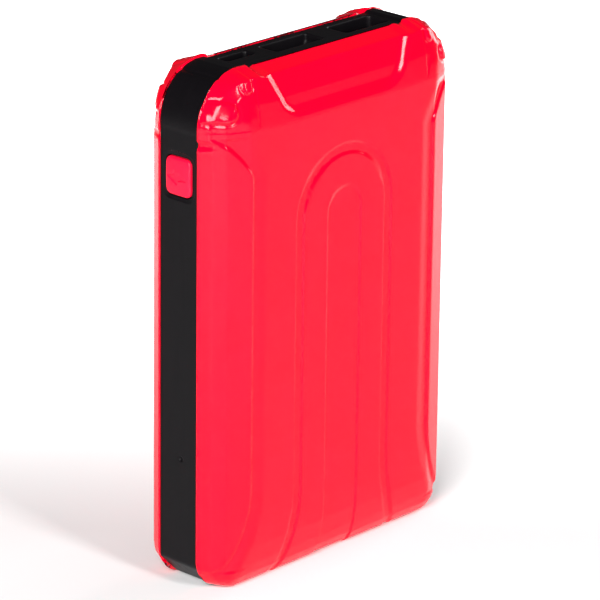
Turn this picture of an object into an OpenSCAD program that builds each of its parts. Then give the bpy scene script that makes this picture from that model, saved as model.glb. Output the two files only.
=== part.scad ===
// Jump starter pack: two moulded covers on a middle frame, a side button, three top sockets,
// one circuit board and a stack of three pouch cells.  Millimetres, +Z up, standing on its foot.
// The front cover faces -Y, the button is on -X and the sockets open on top.

/* [Case] */
// Width across the side band
case_w = 80; // [70:0.5:96]
// Height from the foot to the top edge
case_h = 121; // [100:0.5:146]
// Depth of the middle band between the covers
band_d = 11.8; // [11.2:0.1:14.4]
// How far each cover stands proud of the band
cover_d = 7.7; // [7:0.1:9.4]
// Wall of the covers
cover_wall = 1.8; // [1.4:0.1:2.2]
// Wall of the middle frame
frame_wall = 2; // [1.6:0.1:2.4]
// How far the band lies below the covers' edges
band_step = 0.3; // [0.2:0.05:0.4]

/* [Corners] */
// Radius of the corner bumpers at the top
top_corner_r = 12.5; // [11:0.1:15]
// How far the corner bumpers stand out at the top edge
bumper_rise = 0.5; // [0.3:0.05:0.7]
// Radius of the bottom corners
foot_corner_r = 8; // [6.5:0.1:9.6]
// Width of the notch that ends each bumper
notch_w = 2; // [1.6:0.1:2.4]
// Depth of the notch that ends each bumper
notch_d = 0.5; // [0.3:0.05:0.6]

/* [Cover relief] */
// How far the leaning side wall runs inwards
lean_in = 1.6; // [1.3:0.1:2]
// How far the leaning side wall rises
lean_up = 3.2; // [2.6:0.1:3.9]
// Distance from the side to the end of the bevel
bevel_in = 4; // [3.4:0.1:4.8]
// Rise to the end of the bevel
bevel_up = 5.4; // [4.6:0.1:6.2]
// Distance from the side to the inner edge of the side rail
rail_in = 11.5; // [10:0.1:13.5]
// Length of the rounding where the front turns to the foot
foot_round = 10; // [8:0.5:12]
// Length of the slope where the front turns to the top
top_slope = 15; // [13:0.5:18]
// Depth of the grooves and of the top panel
groove_d = 0.5; // [0.3:0.05:0.6]
// Width of the hairpin groove
groove_w = 2.4; // [2:0.1:2.9]
// Distance between the legs of the hairpin groove, middle to middle
hairpin_w = 29.2; // [25:0.1:34]
// Width of the inner pocket
pocket_w = 11; // [9.5:0.1:13.2]
// Distance from the top edge to the hairpin's outer end
hairpin_top = 21.5; // [18:0.5:25]
// Distance from the top edge to the pocket's end
pocket_top = 31.5; // [28:0.5:37]
// Width of the top panel at its top
panel_top_w = 47; // [40:0.5:54]
// Width of the top panel at its bottom
panel_low_w = 35; // [30:0.5:42]
// Height of the top panel
panel_h = 11; // [9:0.1:13.2]

/* [Button] */
// Width of the button cap
button_w = 7.7; // [6.5:0.1:8.2]
// Height of the button cap
button_h = 8.8; // [7.4:0.1:10.6]
// Corner radius of the button cap
button_r = 1.5; // [1:0.1:1.9]
// Gap round the button cap
button_gap = 0.25; // [0.2:0.05:0.4]
// How far the cap stands proud of the band
button_proud = 0.6; // [0.55:0.05:0.9]
// Travel of the button
button_travel = 0.5; // [0.4:0.05:0.6]
// Distance from the top edge to the button's middle
button_drop = 23.4; // [20:0.1:27]

/* [Sockets] */
// Width of the small charging socket's cut-out
micro_cut_w = 8.8; // [8.2:0.1:10.4]
// Depth of the small charging socket's cut-out
micro_cut_d = 3.2; // [3:0.1:3.4]
// Width of the wide output socket's cut-out
usb_cut_w = 15.3; // [13.6:0.1:17]
// Depth of the wide output socket's cut-out
usb_cut_d = 5.6; // [5.2:0.1:5.8]
// Width of the jump lead socket's cut-out
jump_cut_w = 14.3; // [13.8:0.1:16.5]
// Depth of the jump lead socket's cut-out
jump_cut_d = 6.3; // [5.6:0.1:6.4]
// Place of the small charging socket across the case
micro_x = -19.7; // [-22:0.1:-18]
// Place of the wide output socket across the case
usb_x = -3.2; // [-4:0.1:-2]
// Place of the jump lead socket across the case
jump_x = 18.5; // [17.5:0.1:20]

/* [Board and cells] */
// Gap between the circuit board's edges and the frame
board_side_gap = 4.7; // [4.2:0.1:6]
// Height of the circuit board
board_h = 28.5; // [26:0.5:29.5]
// Thickness of the circuit board
board_t = 1.6; // [1.2:0.1:1.9]
// Gap between the cells' edges and the frame
cell_side_gap = 6.7; // [6.4:0.1:10]
// Room between the cells' top and the shelf, for the tabs and links
cell_head_room = 5; // [4.5:0.1:9]
// Thickness of a pouch cell
cell_t = 6.6; // [5.5:0.1:6.7]
// Shank radius of the screws
screw_r = 1; // [0.85:0.05:1.2]

/* [Hidden] */
$fn = 48;
half_w = case_w / 2;
half_band = band_d / 2;
front_y = half_band + cover_d;
arc_steps = 12;
eps = 0.01;
cut = 0.5;
seat_gap = 0.3;
hole_gap = 0.15;

// Colours
shell_red = [0.9, 0.05, 0.13];
band_black = [0.12, 0.12, 0.13];
board_green = [0.05, 0.3, 0.16];
tin = [0.75, 0.76, 0.78];
copper = [0.75, 0.45, 0.25];

// ---- outlines ---------------------------------------------------------------------------

function arc(c, r, a0, a1) =
    [for (i = [0:arc_steps]) let(a = a0 + (a1 - a0) * i / arc_steps) c + r * [cos(a), sin(a)]];
function mirror_x(points) =
    [for (i = [len(points) - 1:-1:0]) [-points[i][0], points[i][1]]];
function bar(w, h, r) =
    concat(arc([w / 2 - r, h / 2 - r], r, 0, 90), arc([r - w / 2, h / 2 - r], r, 90, 180),
           arc([r - w / 2, r - h / 2], r, 180, 270), arc([w / 2 - r, r - h / 2], r, 270, 360));

// Corner bumper: an arc that stands a little proud of the side and of the top edge
bumper_c = [half_w + 0.1 - top_corner_r, case_h + bumper_rise - top_corner_r];
side_notch_z = bumper_c[1] - top_corner_r * sin(8) - notch_w;
top_notch_x = bumper_c[0] - top_corner_r * sin(10) - notch_w;
outline_half = concat(
    arc([half_w - foot_corner_r, foot_corner_r], foot_corner_r, -90, 0),
    [[half_w, side_notch_z], [half_w - notch_d, side_notch_z + notch_w / 2]],
    arc(bumper_c, top_corner_r, -8, 100),
    [[top_notch_x + notch_w / 2, case_h - notch_d], [top_notch_x, case_h]]);

module case_outline(inset = 0) {
    offset(delta = -inset) polygon(concat(outline_half, mirror_x(outline_half)));
}

// Cross-section of a cover, seen from above: leaning wall, bevel, rail, shallow valley, flat front
bumper_side = 0.3;
valley_d = 0.45;
valley_w = 3.2;
valley_steep_w = 1.1;
ridge_drop = 0.1;
ridge_w = 1.9;
ridge_in = rail_in - ridge_w;
section_half = [
    [half_w + bumper_side, 0], [half_w + bumper_side, half_band],
    [half_w - lean_in, half_band + lean_up], [half_w - bevel_in, half_band + bevel_up],
    [half_w - ridge_in, front_y - ridge_drop], [half_w - ridge_in - valley_steep_w, front_y - valley_d],
    [half_w - ridge_in - valley_w, front_y]];

// Side profile of a cover: [distance forward, height]
foot_flat = 2.7;
brow_d = 2.4;
brow_h = 1.6;
brow_top_d = 1;
slope_d = 0.5;
foot_turn_d = 0.4;
profile = [
    [0, 0], [half_band + foot_flat, 0], [half_band + bevel_up, foot_round * 0.3],
    [front_y - foot_turn_d, foot_round * 0.75], [front_y, foot_round * 1.4],
    [front_y, case_h - top_slope * 1.2], [front_y - slope_d, case_h - top_slope * 0.7],
    [front_y - brow_d, case_h - brow_h], [half_band + brow_top_d, case_h + bumper_rise],
    [0, case_h + bumper_rise]];

module stand_up() {
    // Turns a drawing in X and Y into one in X and Z that runs from y = 0 towards -Y
    rotate([90, 0, 0]) linear_extrude(height = front_y + 1) children();
}

// The block that a cover is cut from, shrunk by inset, from the middle plane to the front
module cover_block(inset = 0) {
    intersection() {
        stand_up() case_outline(inset);
        linear_extrude(height = case_h + 2) mirror([0, 1]) offset(delta = -inset)
            polygon(concat(section_half, mirror_x(section_half)));
        rotate([90, 0, -90]) translate([0, 0, -half_w - 1]) linear_extrude(height = case_w + 2)
            offset(delta = -inset) polygon(profile);
    }
}

// Everything forward of a plane at the distance y0 from the middle
module forward_of(y0) {
    translate([-half_w - 2, -front_y - 2, -2]) cube([case_w + 4, front_y + 2 - y0, case_h + 6]);
}

module hairpin(w, top) {
    r = w / 2;
    z = case_h - top - r;
    translate([0, z]) circle(r);
    translate([-r, -1]) square([w, z + 1]);
}

module groove_drawing() {
    difference() {
        hairpin(hairpin_w + groove_w, hairpin_top);
        hairpin(hairpin_w - groove_w, hairpin_top + groove_w);
    }
    hairpin(pocket_w, pocket_top);
}

module panel_drawing() {
    z = case_h - panel_h;
    top = case_h - brow_h;
    polygon([[-panel_low_w / 2, z], [panel_low_w / 2, z], [panel_top_w / 2, top], [-panel_top_w / 2, top]]);
}

// Screw places on the frame, as [x, z]
lug_r = 2.6;
lug_t = 2;
lug_x = half_w - 5.6;
lug_top_x = half_w - 6.2;
lug_low_z = 12;
lug_top_z = bumper_c[1] + 3;
lugs = [[-lug_x, lug_low_z], [lug_x, lug_low_z], [-lug_top_x, lug_top_z], [lug_top_x, lug_top_z]];

// Clip tongues on a cover: one pair above the foot and one pair below the shelf
clip_up = 33.9;
clip_under_shelf = 18.4;
clip_w = 8;
clip_t = 1.2;
clip_in = 3.2;
clip_gap = 0.15;
clip_root = 0.4;
clip_seat_t = 1.2;
clip_x = half_w - band_step - frame_wall - clip_gap - clip_t;

module cover_shell() {
    difference() {
        intersection() {
            cover_block();
            forward_of(half_band);
        }
        intersection() {
            cover_block(cover_wall);
            forward_of(half_band - cut);
        }
        difference() {
            stand_up() union() {
                groove_drawing();
                panel_drawing();
            }
            cover_block(groove_d);
        }
    }
}

// Clips reach past the seam into the frame and root in the cover's side wall
module clips() {
    for (s = [-1, 1], z = [clip_up, shelf_z - clip_under_shelf])
        translate([s * (clip_x + clip_t / 2), -half_band - clip_root, z]) {
            translate([-clip_t / 2, 0, -clip_w / 2]) cube([clip_t, clip_in + clip_root, clip_w]);
            translate([s > 0 ? -clip_t / 2 : -cover_wall, clip_root - clip_seat_t, -clip_w / 2])
                cube([clip_t / 2 + cover_wall, clip_seat_t, clip_w]);
        }
}

boss_inset = 0.6;

module front_cover() color(shell_red) {
    difference() {
        union() {
            cover_shell();
            clips();
            intersection() {
                cover_block(boss_inset);
                forward_of(half_band);
                for (p = lugs)
                    translate([p[0], 0, p[1]]) rotate([90, 0, 0]) cylinder(r = lug_r, h = front_y);
            }
        }
        for (p = lugs)
            translate([p[0], -half_band + cut, p[1]]) rotate([90, 0, 0])
                cylinder(r = screw_r, h = cut + screw_bite);
    }
}

module rear_cover() color(shell_red) mirror([0, 1, 0]) {
    cover_shell();
    clips();
}

// ---- middle frame -----------------------------------------------------------------------

frame_top = case_h - band_step;
panel_z = frame_top - frame_wall;
inner_x = half_w - band_step - frame_wall;
floor_z = band_step + frame_wall;
button_z = case_h - button_drop;
flange_lap = 0.7;
lap = 0.4;
dimple_r = 0.6;
dimple_d = 0.3;
dimple_y = -0.8;
dimple_z = 31.1;
well_w = 0.6;
well_d = 0.25;
well_r = button_r + button_gap + well_w;

board_y = half_band - 2.35;
board_w = 2 * (inner_x - board_side_gap);
port_y = board_y - 2.85;
micro_y = board_y - 1.6;
jump_y = board_y - 3.2;
board_top = panel_z - 2.4;
board_low = board_top - board_h;
tab_t = 2;
tab_w = 4.9;
tab_half_h = 2;
tab_x = board_w / 2 - 2.5;
tab_z = [button_z - button_h / 2 - flange_lap - 0.6 - tab_half_h, board_top - 8.5];
shelf_t = 1.2;
shelf_z = board_low - 1.6 - shelf_t;
strap_slot_w = 6.4;
strap_slot_d = 3.4;
strip_slot_w = 3;
strip_slot_d = 1;

cell_z = 6;
cell_gap = 0.2;
cell_w = 2 * (inner_x - cell_side_gap);
cell_h = shelf_z - cell_head_room - cell_z;
cell_top = cell_z + cell_h;
cell_tab_h = 2.5;
rib_w = 2;
rib_x = cell_w / 4;
micro_cut_r = 0.8;
usb_cut_r = 0.5;
jump_cut_r = 0.9;

module frame_ring() {
    translate([0, half_band, 0]) rotate([90, 0, 0]) linear_extrude(height = band_d) difference() {
        case_outline(band_step);
        case_outline(band_step + frame_wall);
    }
}

module side_drawing(w, h, r) {
    // A rounded bar drawn on the left side wall, w along Y and h along Z, and pushed along +X
    rotate([90, 0, 90]) linear_extrude(height = frame_wall + 2) polygon(bar(w, h, r));
}

module mid_frame() color(band_black) difference() {
    union() {
        frame_ring();
        for (p = lugs) {
            translate([p[0], -half_band + lug_t, p[1]]) rotate([90, 0, 0]) cylinder(r = lug_r, h = lug_t);
            translate([p[0] > 0 ? p[0] : -inner_x - lap, -half_band, p[1] - lug_r * 0.8])
                cube([inner_x + lap - abs(p[0]), lug_t, lug_r * 1.6]);
        }
        for (s = [-1, 1], z = tab_z)
            translate([s > 0 ? tab_x - tab_w / 2 : -inner_x - lap, board_y - tab_t, z - tab_half_h])
                cube([inner_x + lap - tab_x + tab_w / 2, tab_t, 2 * tab_half_h]);
        translate([-inner_x - lap, -half_band, shelf_z]) cube([2 * (inner_x + lap), band_d, shelf_t]);
        for (s = [-1, 1])
            translate([s * rib_x - rib_w / 2, -half_band, floor_z - lap])
                cube([rib_w, band_d, cell_z - floor_z + lap]);
    }
    for (p = lugs)
        translate([p[0], -half_band + lug_t + cut, p[1]]) rotate([90, 0, 0])
            cylinder(r = screw_r + hole_gap, h = lug_t + 2 * cut);
    for (s = [-1, 1], z = tab_z)
        translate([s * tab_x, board_y + cut, z]) rotate([90, 0, 0])
            cylinder(r = screw_r, h = tab_t + 2 * cut);
    translate([micro_x, micro_y, panel_z - 1]) linear_extrude(height = frame_wall + 2)
        polygon(bar(micro_cut_w, micro_cut_d, micro_cut_r));
    translate([usb_x, port_y, panel_z - 1]) linear_extrude(height = frame_wall + 2)
        polygon(bar(usb_cut_w, usb_cut_d, usb_cut_r));
    translate([jump_x, jump_y, panel_z - 1]) linear_extrude(height = frame_wall + 2)
        polygon(bar(jump_cut_w, jump_cut_d, jump_cut_r));
    translate([-half_w - 1, 0, button_z])
        side_drawing(button_w + 2 * button_gap, button_h + 2 * button_gap, button_r + button_gap);
    translate([-half_w + band_step + well_d - frame_wall - 2, 0, button_z])
        side_drawing(button_w + 2 * (button_gap + well_w), button_h + 2 * (button_gap + well_w), well_r);
    translate([-half_w + band_step - cut, dimple_y, dimple_z]) rotate([0, 90, 0])
        cylinder(r = dimple_r, h = cut + dimple_d);
    for (s = [-1, 1])
        translate([jump_x + s * contact_x - strap_slot_w / 2, strap_y - strap_slot_d / 2, shelf_z - 1])
            cube([strap_slot_w, strap_slot_d, shelf_t + 2]);
    translate([-link_x - strap_wide / 2 - seat_gap, minus_y - seat_gap, shelf_z - 1])
        cube([strap_wide + 2 * seat_gap, strap_t + 2 * seat_gap, shelf_t + 2]);
    for (x = [-link_x, link_x])
        translate([x - strip_slot_w / 2, board_y - strip_slot_d, shelf_z - 1])
            cube([strip_slot_w, half_band - board_y + strip_slot_d + 1, shelf_t + 2]);
}

// ---- button and its switch --------------------------------------------------------------

flange_t = 1;
flange_x = -inner_x + seat_gap;
cap_x = -half_w + band_step - button_proud;
switch_x = -board_w / 2 + 1;
stem_r = 1.5;
plunger_r = 1.7;
plunger_out = 1;
plunger_in = 1;
plunger_gap = 0.2;
switch_l = 3.6;
switch_h = 6;
switch_d = 7;
crown_t = 0.25;
crown_in = 0.35;

module button_crown() {
    // Cap: two steps of the same outline, the outer one smaller, for the crowned edge
    w = button_w;
    h = button_h;
    rotate([90, 0, 90]) {
        linear_extrude(height = crown_t)
            polygon(bar(w - 2 * crown_in, h - 2 * crown_in, button_r - crown_in));
        translate([0, 0, crown_t]) linear_extrude(height = flange_x - cap_x - crown_t + eps)
            polygon(bar(w, h, button_r));
    }
}

module power_button() color([1, 0.14, 0.24]) {
    translate([cap_x, 0, button_z]) button_crown();
    translate([flange_x, 0, button_z]) rotate([90, 0, 90]) linear_extrude(height = flange_t)
        polygon(bar(button_w + 2 * flange_lap, button_h + 2 * flange_lap, button_r));
    translate([flange_x, 0, button_z]) rotate([0, 90, 0])
        cylinder(r = stem_r, h = switch_x - plunger_out - flange_x);
}

module tact_switch() color([0.16, 0.16, 0.17]) difference() {
    translate([switch_x, board_y - switch_d, button_z - switch_h / 2]) cube([switch_l, switch_d, switch_h]);
    translate([switch_x - cut, 0, button_z]) rotate([0, 90, 0])
        cylinder(r = plunger_r + plunger_gap, h = cut + plunger_in + button_travel + 0.5);
}

module switch_plunger() color([0.85, 0.85, 0.82])
    translate([switch_x - plunger_out, 0, button_z]) rotate([0, 90, 0])
        cylinder(r = plunger_r, h = plunger_out + plunger_in);

// ---- circuit board and what stands on it ------------------------------------------------

module main_board() color(board_green) difference() {
    translate([-board_w / 2, board_y, board_low]) cube([board_w, board_t, board_h]);
    for (s = [-1, 1], z = tab_z)
        translate([s * tab_x, board_y + board_t + cut, z]) rotate([90, 0, 0])
            cylinder(r = screw_r + hole_gap, h = board_t + 2 * cut);
}

socket_top = panel_z - 1.2 * notch_d - seat_gap;
usb_w = 13.1;
usb_d = 5.7;
usb_l = 14;
usb_floor = 3;
skin = 0.3;
tongue_stop = 1.2;

module usb_shell() color(tin) difference() {
    translate([usb_x - usb_w / 2, board_y - usb_d, socket_top - usb_l]) cube([usb_w, usb_d, usb_l]);
    translate([usb_x - usb_w / 2 + skin, board_y - usb_d + skin, socket_top - usb_l - cut])
        cube([usb_w - 2 * skin, usb_d - 2 * skin, usb_l + 2 * cut]);
}

tongue_w = 11;
tongue_t = 1.9;
tongue_lift = 0.6;
tongue_y = board_y - skin - tongue_lift - tongue_t;
finger_w = 1;
finger_t = 0.2;
finger_x = [-3.5, -1, 1, 3.5];

module usb_tongue() color([0.1, 0.1, 0.1]) {
    translate([usb_x - usb_w / 2 + skin, board_y - usb_d + skin, socket_top - usb_l])
        cube([usb_w - 2 * skin, usb_d - 2 * skin, usb_floor]);
    translate([usb_x - tongue_w / 2, tongue_y, socket_top - usb_l + usb_floor - eps])
        cube([tongue_w, tongue_t, usb_l - usb_floor - tongue_stop]);
}

module usb_contacts() color([0.85, 0.68, 0.3]) for (x = finger_x)
    translate([usb_x + x - finger_w / 2, tongue_y - finger_t, socket_top - usb_l + usb_floor])
        cube([finger_w, finger_t, usb_l - usb_floor - tongue_stop - 1]);

micro_w = 7.6;
micro_d = 2.8;
micro_l = 5.2;
micro_floor = 1.4;
micro_slant = 1;
micro_tongue_w = 3.8;
micro_tongue_t = 0.65;
micro_tongue_y = -1.75;
micro_tongue_stop = 0.6;

module micro_drawing(inset) {
    // Mouth of the small socket: wide at the board, with two slanted lower corners
    w = micro_w / 2 - inset;
    d = micro_d - inset;
    side_z = micro_slant - d - inset * 0.4;
    low_w = w - micro_slant;
    polygon([[-w, -inset], [w, -inset], [w, side_z], [low_w, -d], [-low_w, -d], [-w, side_z]]);
}

module micro_shell() color(tin) translate([micro_x, board_y, socket_top - micro_l]) difference() {
    linear_extrude(height = micro_l) micro_drawing(0);
    translate([0, 0, -cut]) linear_extrude(height = micro_l + 2 * cut) micro_drawing(skin);
}

module micro_tongue() color([0.1, 0.1, 0.1]) translate([micro_x, board_y, socket_top - micro_l]) {
    linear_extrude(height = micro_floor) micro_drawing(skin);
    translate([-micro_tongue_w / 2, micro_tongue_y, micro_floor - eps])
        cube([micro_tongue_w, micro_tongue_t, micro_l - micro_floor - micro_tongue_stop]);
}

jump_wall = 1.4;
jump_in_w = jump_cut_w - 0.8;
jump_in_d = jump_cut_d - 1.1;
jump_l = 15;
jump_floor = 2;
jump_low = socket_top - jump_l;
contact_x = 3.6;
contact_r = 1.9;
contact_drop = 3.4;
contact_wall = 0.5;
contact_floor = 1.5;
tail_w = 4;
tail_t = 0.8;
tail_l = 5.4;
tail_gap = 0.1;
jump_in_r = 0.8;
jump_back = 0.9;

module jump_housing() color([0.1, 0.1, 0.11]) difference() {
    translate([jump_x - jump_in_w / 2 - jump_wall, jump_y - jump_in_d / 2 - jump_back, jump_low])
        cube([jump_in_w + 2 * jump_wall, board_y - jump_y + jump_in_d / 2 + jump_back, jump_l]);
    translate([jump_x, jump_y, jump_low + jump_floor]) linear_extrude(height = jump_l)
        polygon(bar(jump_in_w, jump_in_d, jump_in_r));
    for (s = [-1, 1])
        translate([jump_x + s * contact_x, jump_y, jump_low - cut])
            linear_extrude(height = jump_floor + 2 * cut)
                square([tail_w + 2 * tail_gap, tail_t + 2 * tail_gap], center = true);
}

module jump_contacts() color([0.85, 0.68, 0.3]) for (s = [-1, 1])
    translate([jump_x + s * contact_x, jump_y, jump_low + jump_floor]) {
        difference() {
            cylinder(r = contact_r, h = jump_l - jump_floor - contact_drop);
            translate([0, 0, contact_floor]) cylinder(r = contact_r - contact_wall, h = jump_l);
        }
        translate([-tail_w / 2, -tail_t / 2, -tail_l]) cube([tail_w, tail_t, tail_l + eps]);
    }

// Sizes of the components and their places on the board, above its lower edge
coil_r = 4.2;
coil_base_t = 1.2;
coil_core_t = 3.6;
coil_core_r = 3.8;
coil_x = -4;
coil_up = 6;
can_r = 3.15;
can_h = 7.7;
can_x = [4.2, 11];
can_up = 6;
transistor = [5, 1, 6];
transistor_x = -26;
transistor_pitch = 6.2;
transistor_up = 8;
chip = [7, 1, 7];
chip_x = 2;
chip_up = 11.25;

module inductor() color([0.25, 0.25, 0.27])
    translate([coil_x, board_y, board_low + coil_up]) rotate([90, 0, 0]) {
        translate([-coil_r, -coil_r, 0]) cube([2 * coil_r, 2 * coil_r, coil_base_t]);
        translate([0, 0, coil_base_t - eps]) cylinder(r = coil_core_r, h = coil_core_t);
    }

module capacitors() color([0.2, 0.22, 0.3]) for (x = can_x)
    translate([x, board_y, board_low + can_up]) rotate([90, 0, 0]) cylinder(r = can_r, h = can_h);

module power_transistors() color([0.13, 0.13, 0.14]) for (i = [0:3])
    translate([transistor_x + i * transistor_pitch, board_y + board_t, board_low + transistor_up])
        cube(transistor);

module control_chip() color([0.13, 0.13, 0.14])
    translate([chip_x, board_y + board_t, board_low + chip_up]) cube(chip);

screw_bite = 3.6;
head_r = 1.9;
head_t = 1.2;
socket_r = 0.75;
socket_d = 0.7;

module screw(shank) {
    // A pan-headed screw that points along +Z, with its head's underside at z = 0
    translate([0, 0, -eps]) cylinder(r = screw_r, h = shank + eps);
    translate([0, 0, -head_t]) difference() {
        cylinder(r = head_r, h = head_t);
        translate([0, 0, -cut]) cylinder(r = socket_r, h = cut + socket_d, $fn = 6);
    }
}

module board_screws() color(tin) for (s = [-1, 1], z = tab_z)
    translate([s * tab_x, board_y + board_t, z]) rotate([90, 0, 0]) screw(board_t + tab_t);

module frame_screws() color(tin) for (p = lugs)
    translate([p[0], -half_band + lug_t, p[1]]) rotate([90, 0, 0]) screw(lug_t + screw_bite - 0.2);

// ---- cells and their links --------------------------------------------------------------

link_x = 12;
link_t = 0.4;
link_lap = 0.6;
cell_tab_w = 8;
cell_tab_t = 0.3;
cell_y = [-(cell_t + cell_gap), 0, cell_t + cell_gap];
link_z = cell_top + cell_tab_h;

module pouch(y) color([0.72, 0.74, 0.77]) {
    translate([0, y, cell_z]) linear_extrude(height = cell_h) polygon(bar(cell_w, cell_t, cell_t * 0.3));
    for (x = [-link_x, link_x])
        translate([x - cell_tab_w / 2, y - cell_tab_t / 2, cell_top - eps])
            cube([cell_tab_w, cell_tab_t, cell_tab_h + eps]);
}

module cell_front() pouch(cell_y[0]);
module cell_middle() pouch(cell_y[1]);
module cell_rear() pouch(cell_y[2]);

stack_d = 3 * cell_t + 2 * cell_gap;
paper_t = 0.3;
paper_in = [2, 1.5];
slit_gap = 0.2;

module tab_insulator() color([0.82, 0.74, 0.5]) difference() {
    translate([-cell_w / 2 + paper_in[0], -stack_d / 2 + paper_in[1], cell_top])
        cube([cell_w - 2 * paper_in[0], stack_d - 2 * paper_in[1], paper_t]);
    for (x = [-link_x, link_x], y = cell_y)
        translate([x - cell_tab_w / 2 - slit_gap, y - cell_tab_t / 2 - slit_gap, cell_top - cut])
            cube([cell_tab_w + 2 * slit_gap, cell_tab_t + 2 * slit_gap, paper_t + 2 * cut]);
}

module link(x, y0, y1) color(tin)
    translate([x - cell_tab_w / 2, y0 - link_lap, link_z]) cube([cell_tab_w, y1 - y0 + 2 * link_lap, link_t]);

module link_front() link(link_x, cell_y[0], cell_y[1]);
module link_rear() link(-link_x, cell_y[1], cell_y[2]);

strap_t = 0.6;
strap_w = 5;
strap_wide = 6;
strap_lap = 0.8;
strap_y = jump_y - tail_t / 2 - strap_t;
strap_top = jump_low - 0.2;
minus_x = jump_x - contact_x;
plus_x = jump_x + contact_x;
minus_y = -stack_d / 2 + cell_t / 2 - strap_t / 2;
run_z = jump_low - 11;
run_top = run_z + strap_wide;

module positive_strap() color(copper) {
    translate([link_x - cell_tab_w / 2, cell_y[2] - strap_lap, link_z])
        cube([plus_x + strap_w / 2 - link_x + cell_tab_w / 2, 2 * strap_lap, strap_t]);
    translate([plus_x - strap_w / 2, strap_y, link_z])
        cube([strap_w, cell_y[2] + strap_lap - strap_y, strap_t]);
    translate([plus_x - strap_w / 2, strap_y, link_z]) cube([strap_w, strap_t, strap_top - link_z]);
}

module negative_strap() color(copper) {
    translate([-link_x - strap_wide / 2, minus_y, link_z]) cube([strap_wide, strap_t, run_top - link_z]);
    translate([-link_x - strap_wide / 2, minus_y, run_z])
        cube([minus_x + strap_w / 2 + link_x + strap_wide / 2, strap_t, strap_wide]);
    translate([minus_x - strap_w / 2, minus_y, run_top - strap_t])
        cube([strap_w, strap_y + strap_t - minus_y, strap_t]);
    translate([minus_x - strap_w / 2, strap_y, run_top - strap_t])
        cube([strap_w, strap_t, strap_top - run_top + strap_t]);
}

strip_w = 1.4;
strip_t = 0.3;
strip_step = 1;
strip_z = link_z + link_t;
strip_top = board_low + 2;

module sense_strips() color(tin) {
    translate([-link_x - strip_w / 2, board_y - strip_t, strip_z])
        cube([strip_w, strip_t, strip_top - strip_z]);
    translate([link_x - strip_w / 2, -strip_t, strip_z]) cube([strip_w, strip_t, strip_step]);
    translate([link_x - strip_w / 2, -strip_t, strip_z + strip_step - eps]) cube([strip_w, board_y, strip_t]);
    translate([link_x - strip_w / 2, board_y - strip_t, strip_z + strip_step - eps])
        cube([strip_w, strip_t, strip_top - strip_z - strip_step]);
}

pad_gap = 0.1;
pad_side = 6;
pad_low = 8;
pad_short = 18;
pad_w = cell_w - 2 * pad_side;
pad_t = front_y - cover_wall - stack_d / 2 - pad_gap;

module foam_pad() color([0.2, 0.2, 0.22])
    translate([-pad_w / 2, stack_d / 2, cell_z + pad_low]) cube([pad_w, pad_t, cell_h - pad_short]);

module foam_pad_front() mirror([0, 1, 0]) foam_pad();
module foam_pad_rear() foam_pad();

front_cover();
rear_cover();
mid_frame();
power_button();
tact_switch();
switch_plunger();
main_board();
usb_shell();
usb_tongue();
usb_contacts();
micro_shell();
micro_tongue();
jump_housing();
jump_contacts();
inductor();
capacitors();
power_transistors();
control_chip();
board_screws();
frame_screws();
cell_front();
cell_middle();
cell_rear();
tab_insulator();
link_front();
link_rear();
positive_strap();
negative_strap();
sense_strips();
foam_pad_front();
foam_pad_rear();
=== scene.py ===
"""Jump starter pack: two glossy ribbed covers on a satin band, a push button and three top sockets."""
import math
import bpy
import numpy as np
from mathutils import Matrix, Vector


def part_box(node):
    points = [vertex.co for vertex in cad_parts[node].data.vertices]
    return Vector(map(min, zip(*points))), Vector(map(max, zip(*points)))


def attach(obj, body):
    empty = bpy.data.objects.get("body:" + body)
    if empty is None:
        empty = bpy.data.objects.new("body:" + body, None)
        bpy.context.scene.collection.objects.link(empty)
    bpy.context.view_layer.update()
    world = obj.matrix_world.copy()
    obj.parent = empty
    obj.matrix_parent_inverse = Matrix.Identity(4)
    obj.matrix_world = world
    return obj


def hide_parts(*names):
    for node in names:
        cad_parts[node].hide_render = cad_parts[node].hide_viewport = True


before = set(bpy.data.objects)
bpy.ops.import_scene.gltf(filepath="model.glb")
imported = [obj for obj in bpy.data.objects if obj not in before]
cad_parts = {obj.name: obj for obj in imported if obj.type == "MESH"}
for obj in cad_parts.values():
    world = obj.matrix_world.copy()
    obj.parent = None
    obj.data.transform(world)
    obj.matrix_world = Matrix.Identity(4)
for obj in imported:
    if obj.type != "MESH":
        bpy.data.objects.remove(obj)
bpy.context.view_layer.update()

bl_info = {
    "name": "Jump starter pack",
    "version": (1, 0, 0),
    "blender": (4, 5, 0),
    "location": "3D View > Sidebar > Jump Pack",
    "description": "Builds the covers, band, button, sockets and stage of a jump starter pack",
    "category": "Object",
}

MM = 0.001

# ---- the case, read from the frame (mm) --------------------------------------------------------

COVER_LO, COVER_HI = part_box("front_cover")
BAND_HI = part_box("mid_frame")[1]
CAP_LO, CAP_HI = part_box("power_button")
HALF_BAND = BAND_HI[1] / MM
FRONT_Y = -COVER_LO[1] / MM
BUMPER_X = COVER_HI[0] / MM
BUMPER_TOP = COVER_HI[2] / MM
BUTTON_Z = 0.5 * (CAP_LO[2] + CAP_HI[2]) / MM

# how far the corner bumpers stand proud of the plain side and of the flat top
BUMPER_PROUD, FLAT_DROP = 0.1, 0.5
HALF_W = BUMPER_X - BUMPER_PROUD
CASE_H = BUMPER_TOP - FLAT_DROP
TOP_R, FOOT_R = 12.5, 8.0
BUMPER_C = (BUMPER_X - TOP_R, BUMPER_TOP - TOP_R)
WALL = 1.8


# ---- sizes and colours a user may change -------------------------------------------------------

def length(name, text, default):
    """A length property in metres, given in millimetres."""
    return bpy.props.FloatProperty(name=name, description=text, default=default * MM,
                                   subtype="DISTANCE", unit="LENGTH", precision=5)


def colour(name, text, default):
    """A linear colour property."""
    return bpy.props.FloatVectorProperty(name=name, description=text, default=default, size=3,
                                         subtype="COLOR", min=0.0, max=1.0)


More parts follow.
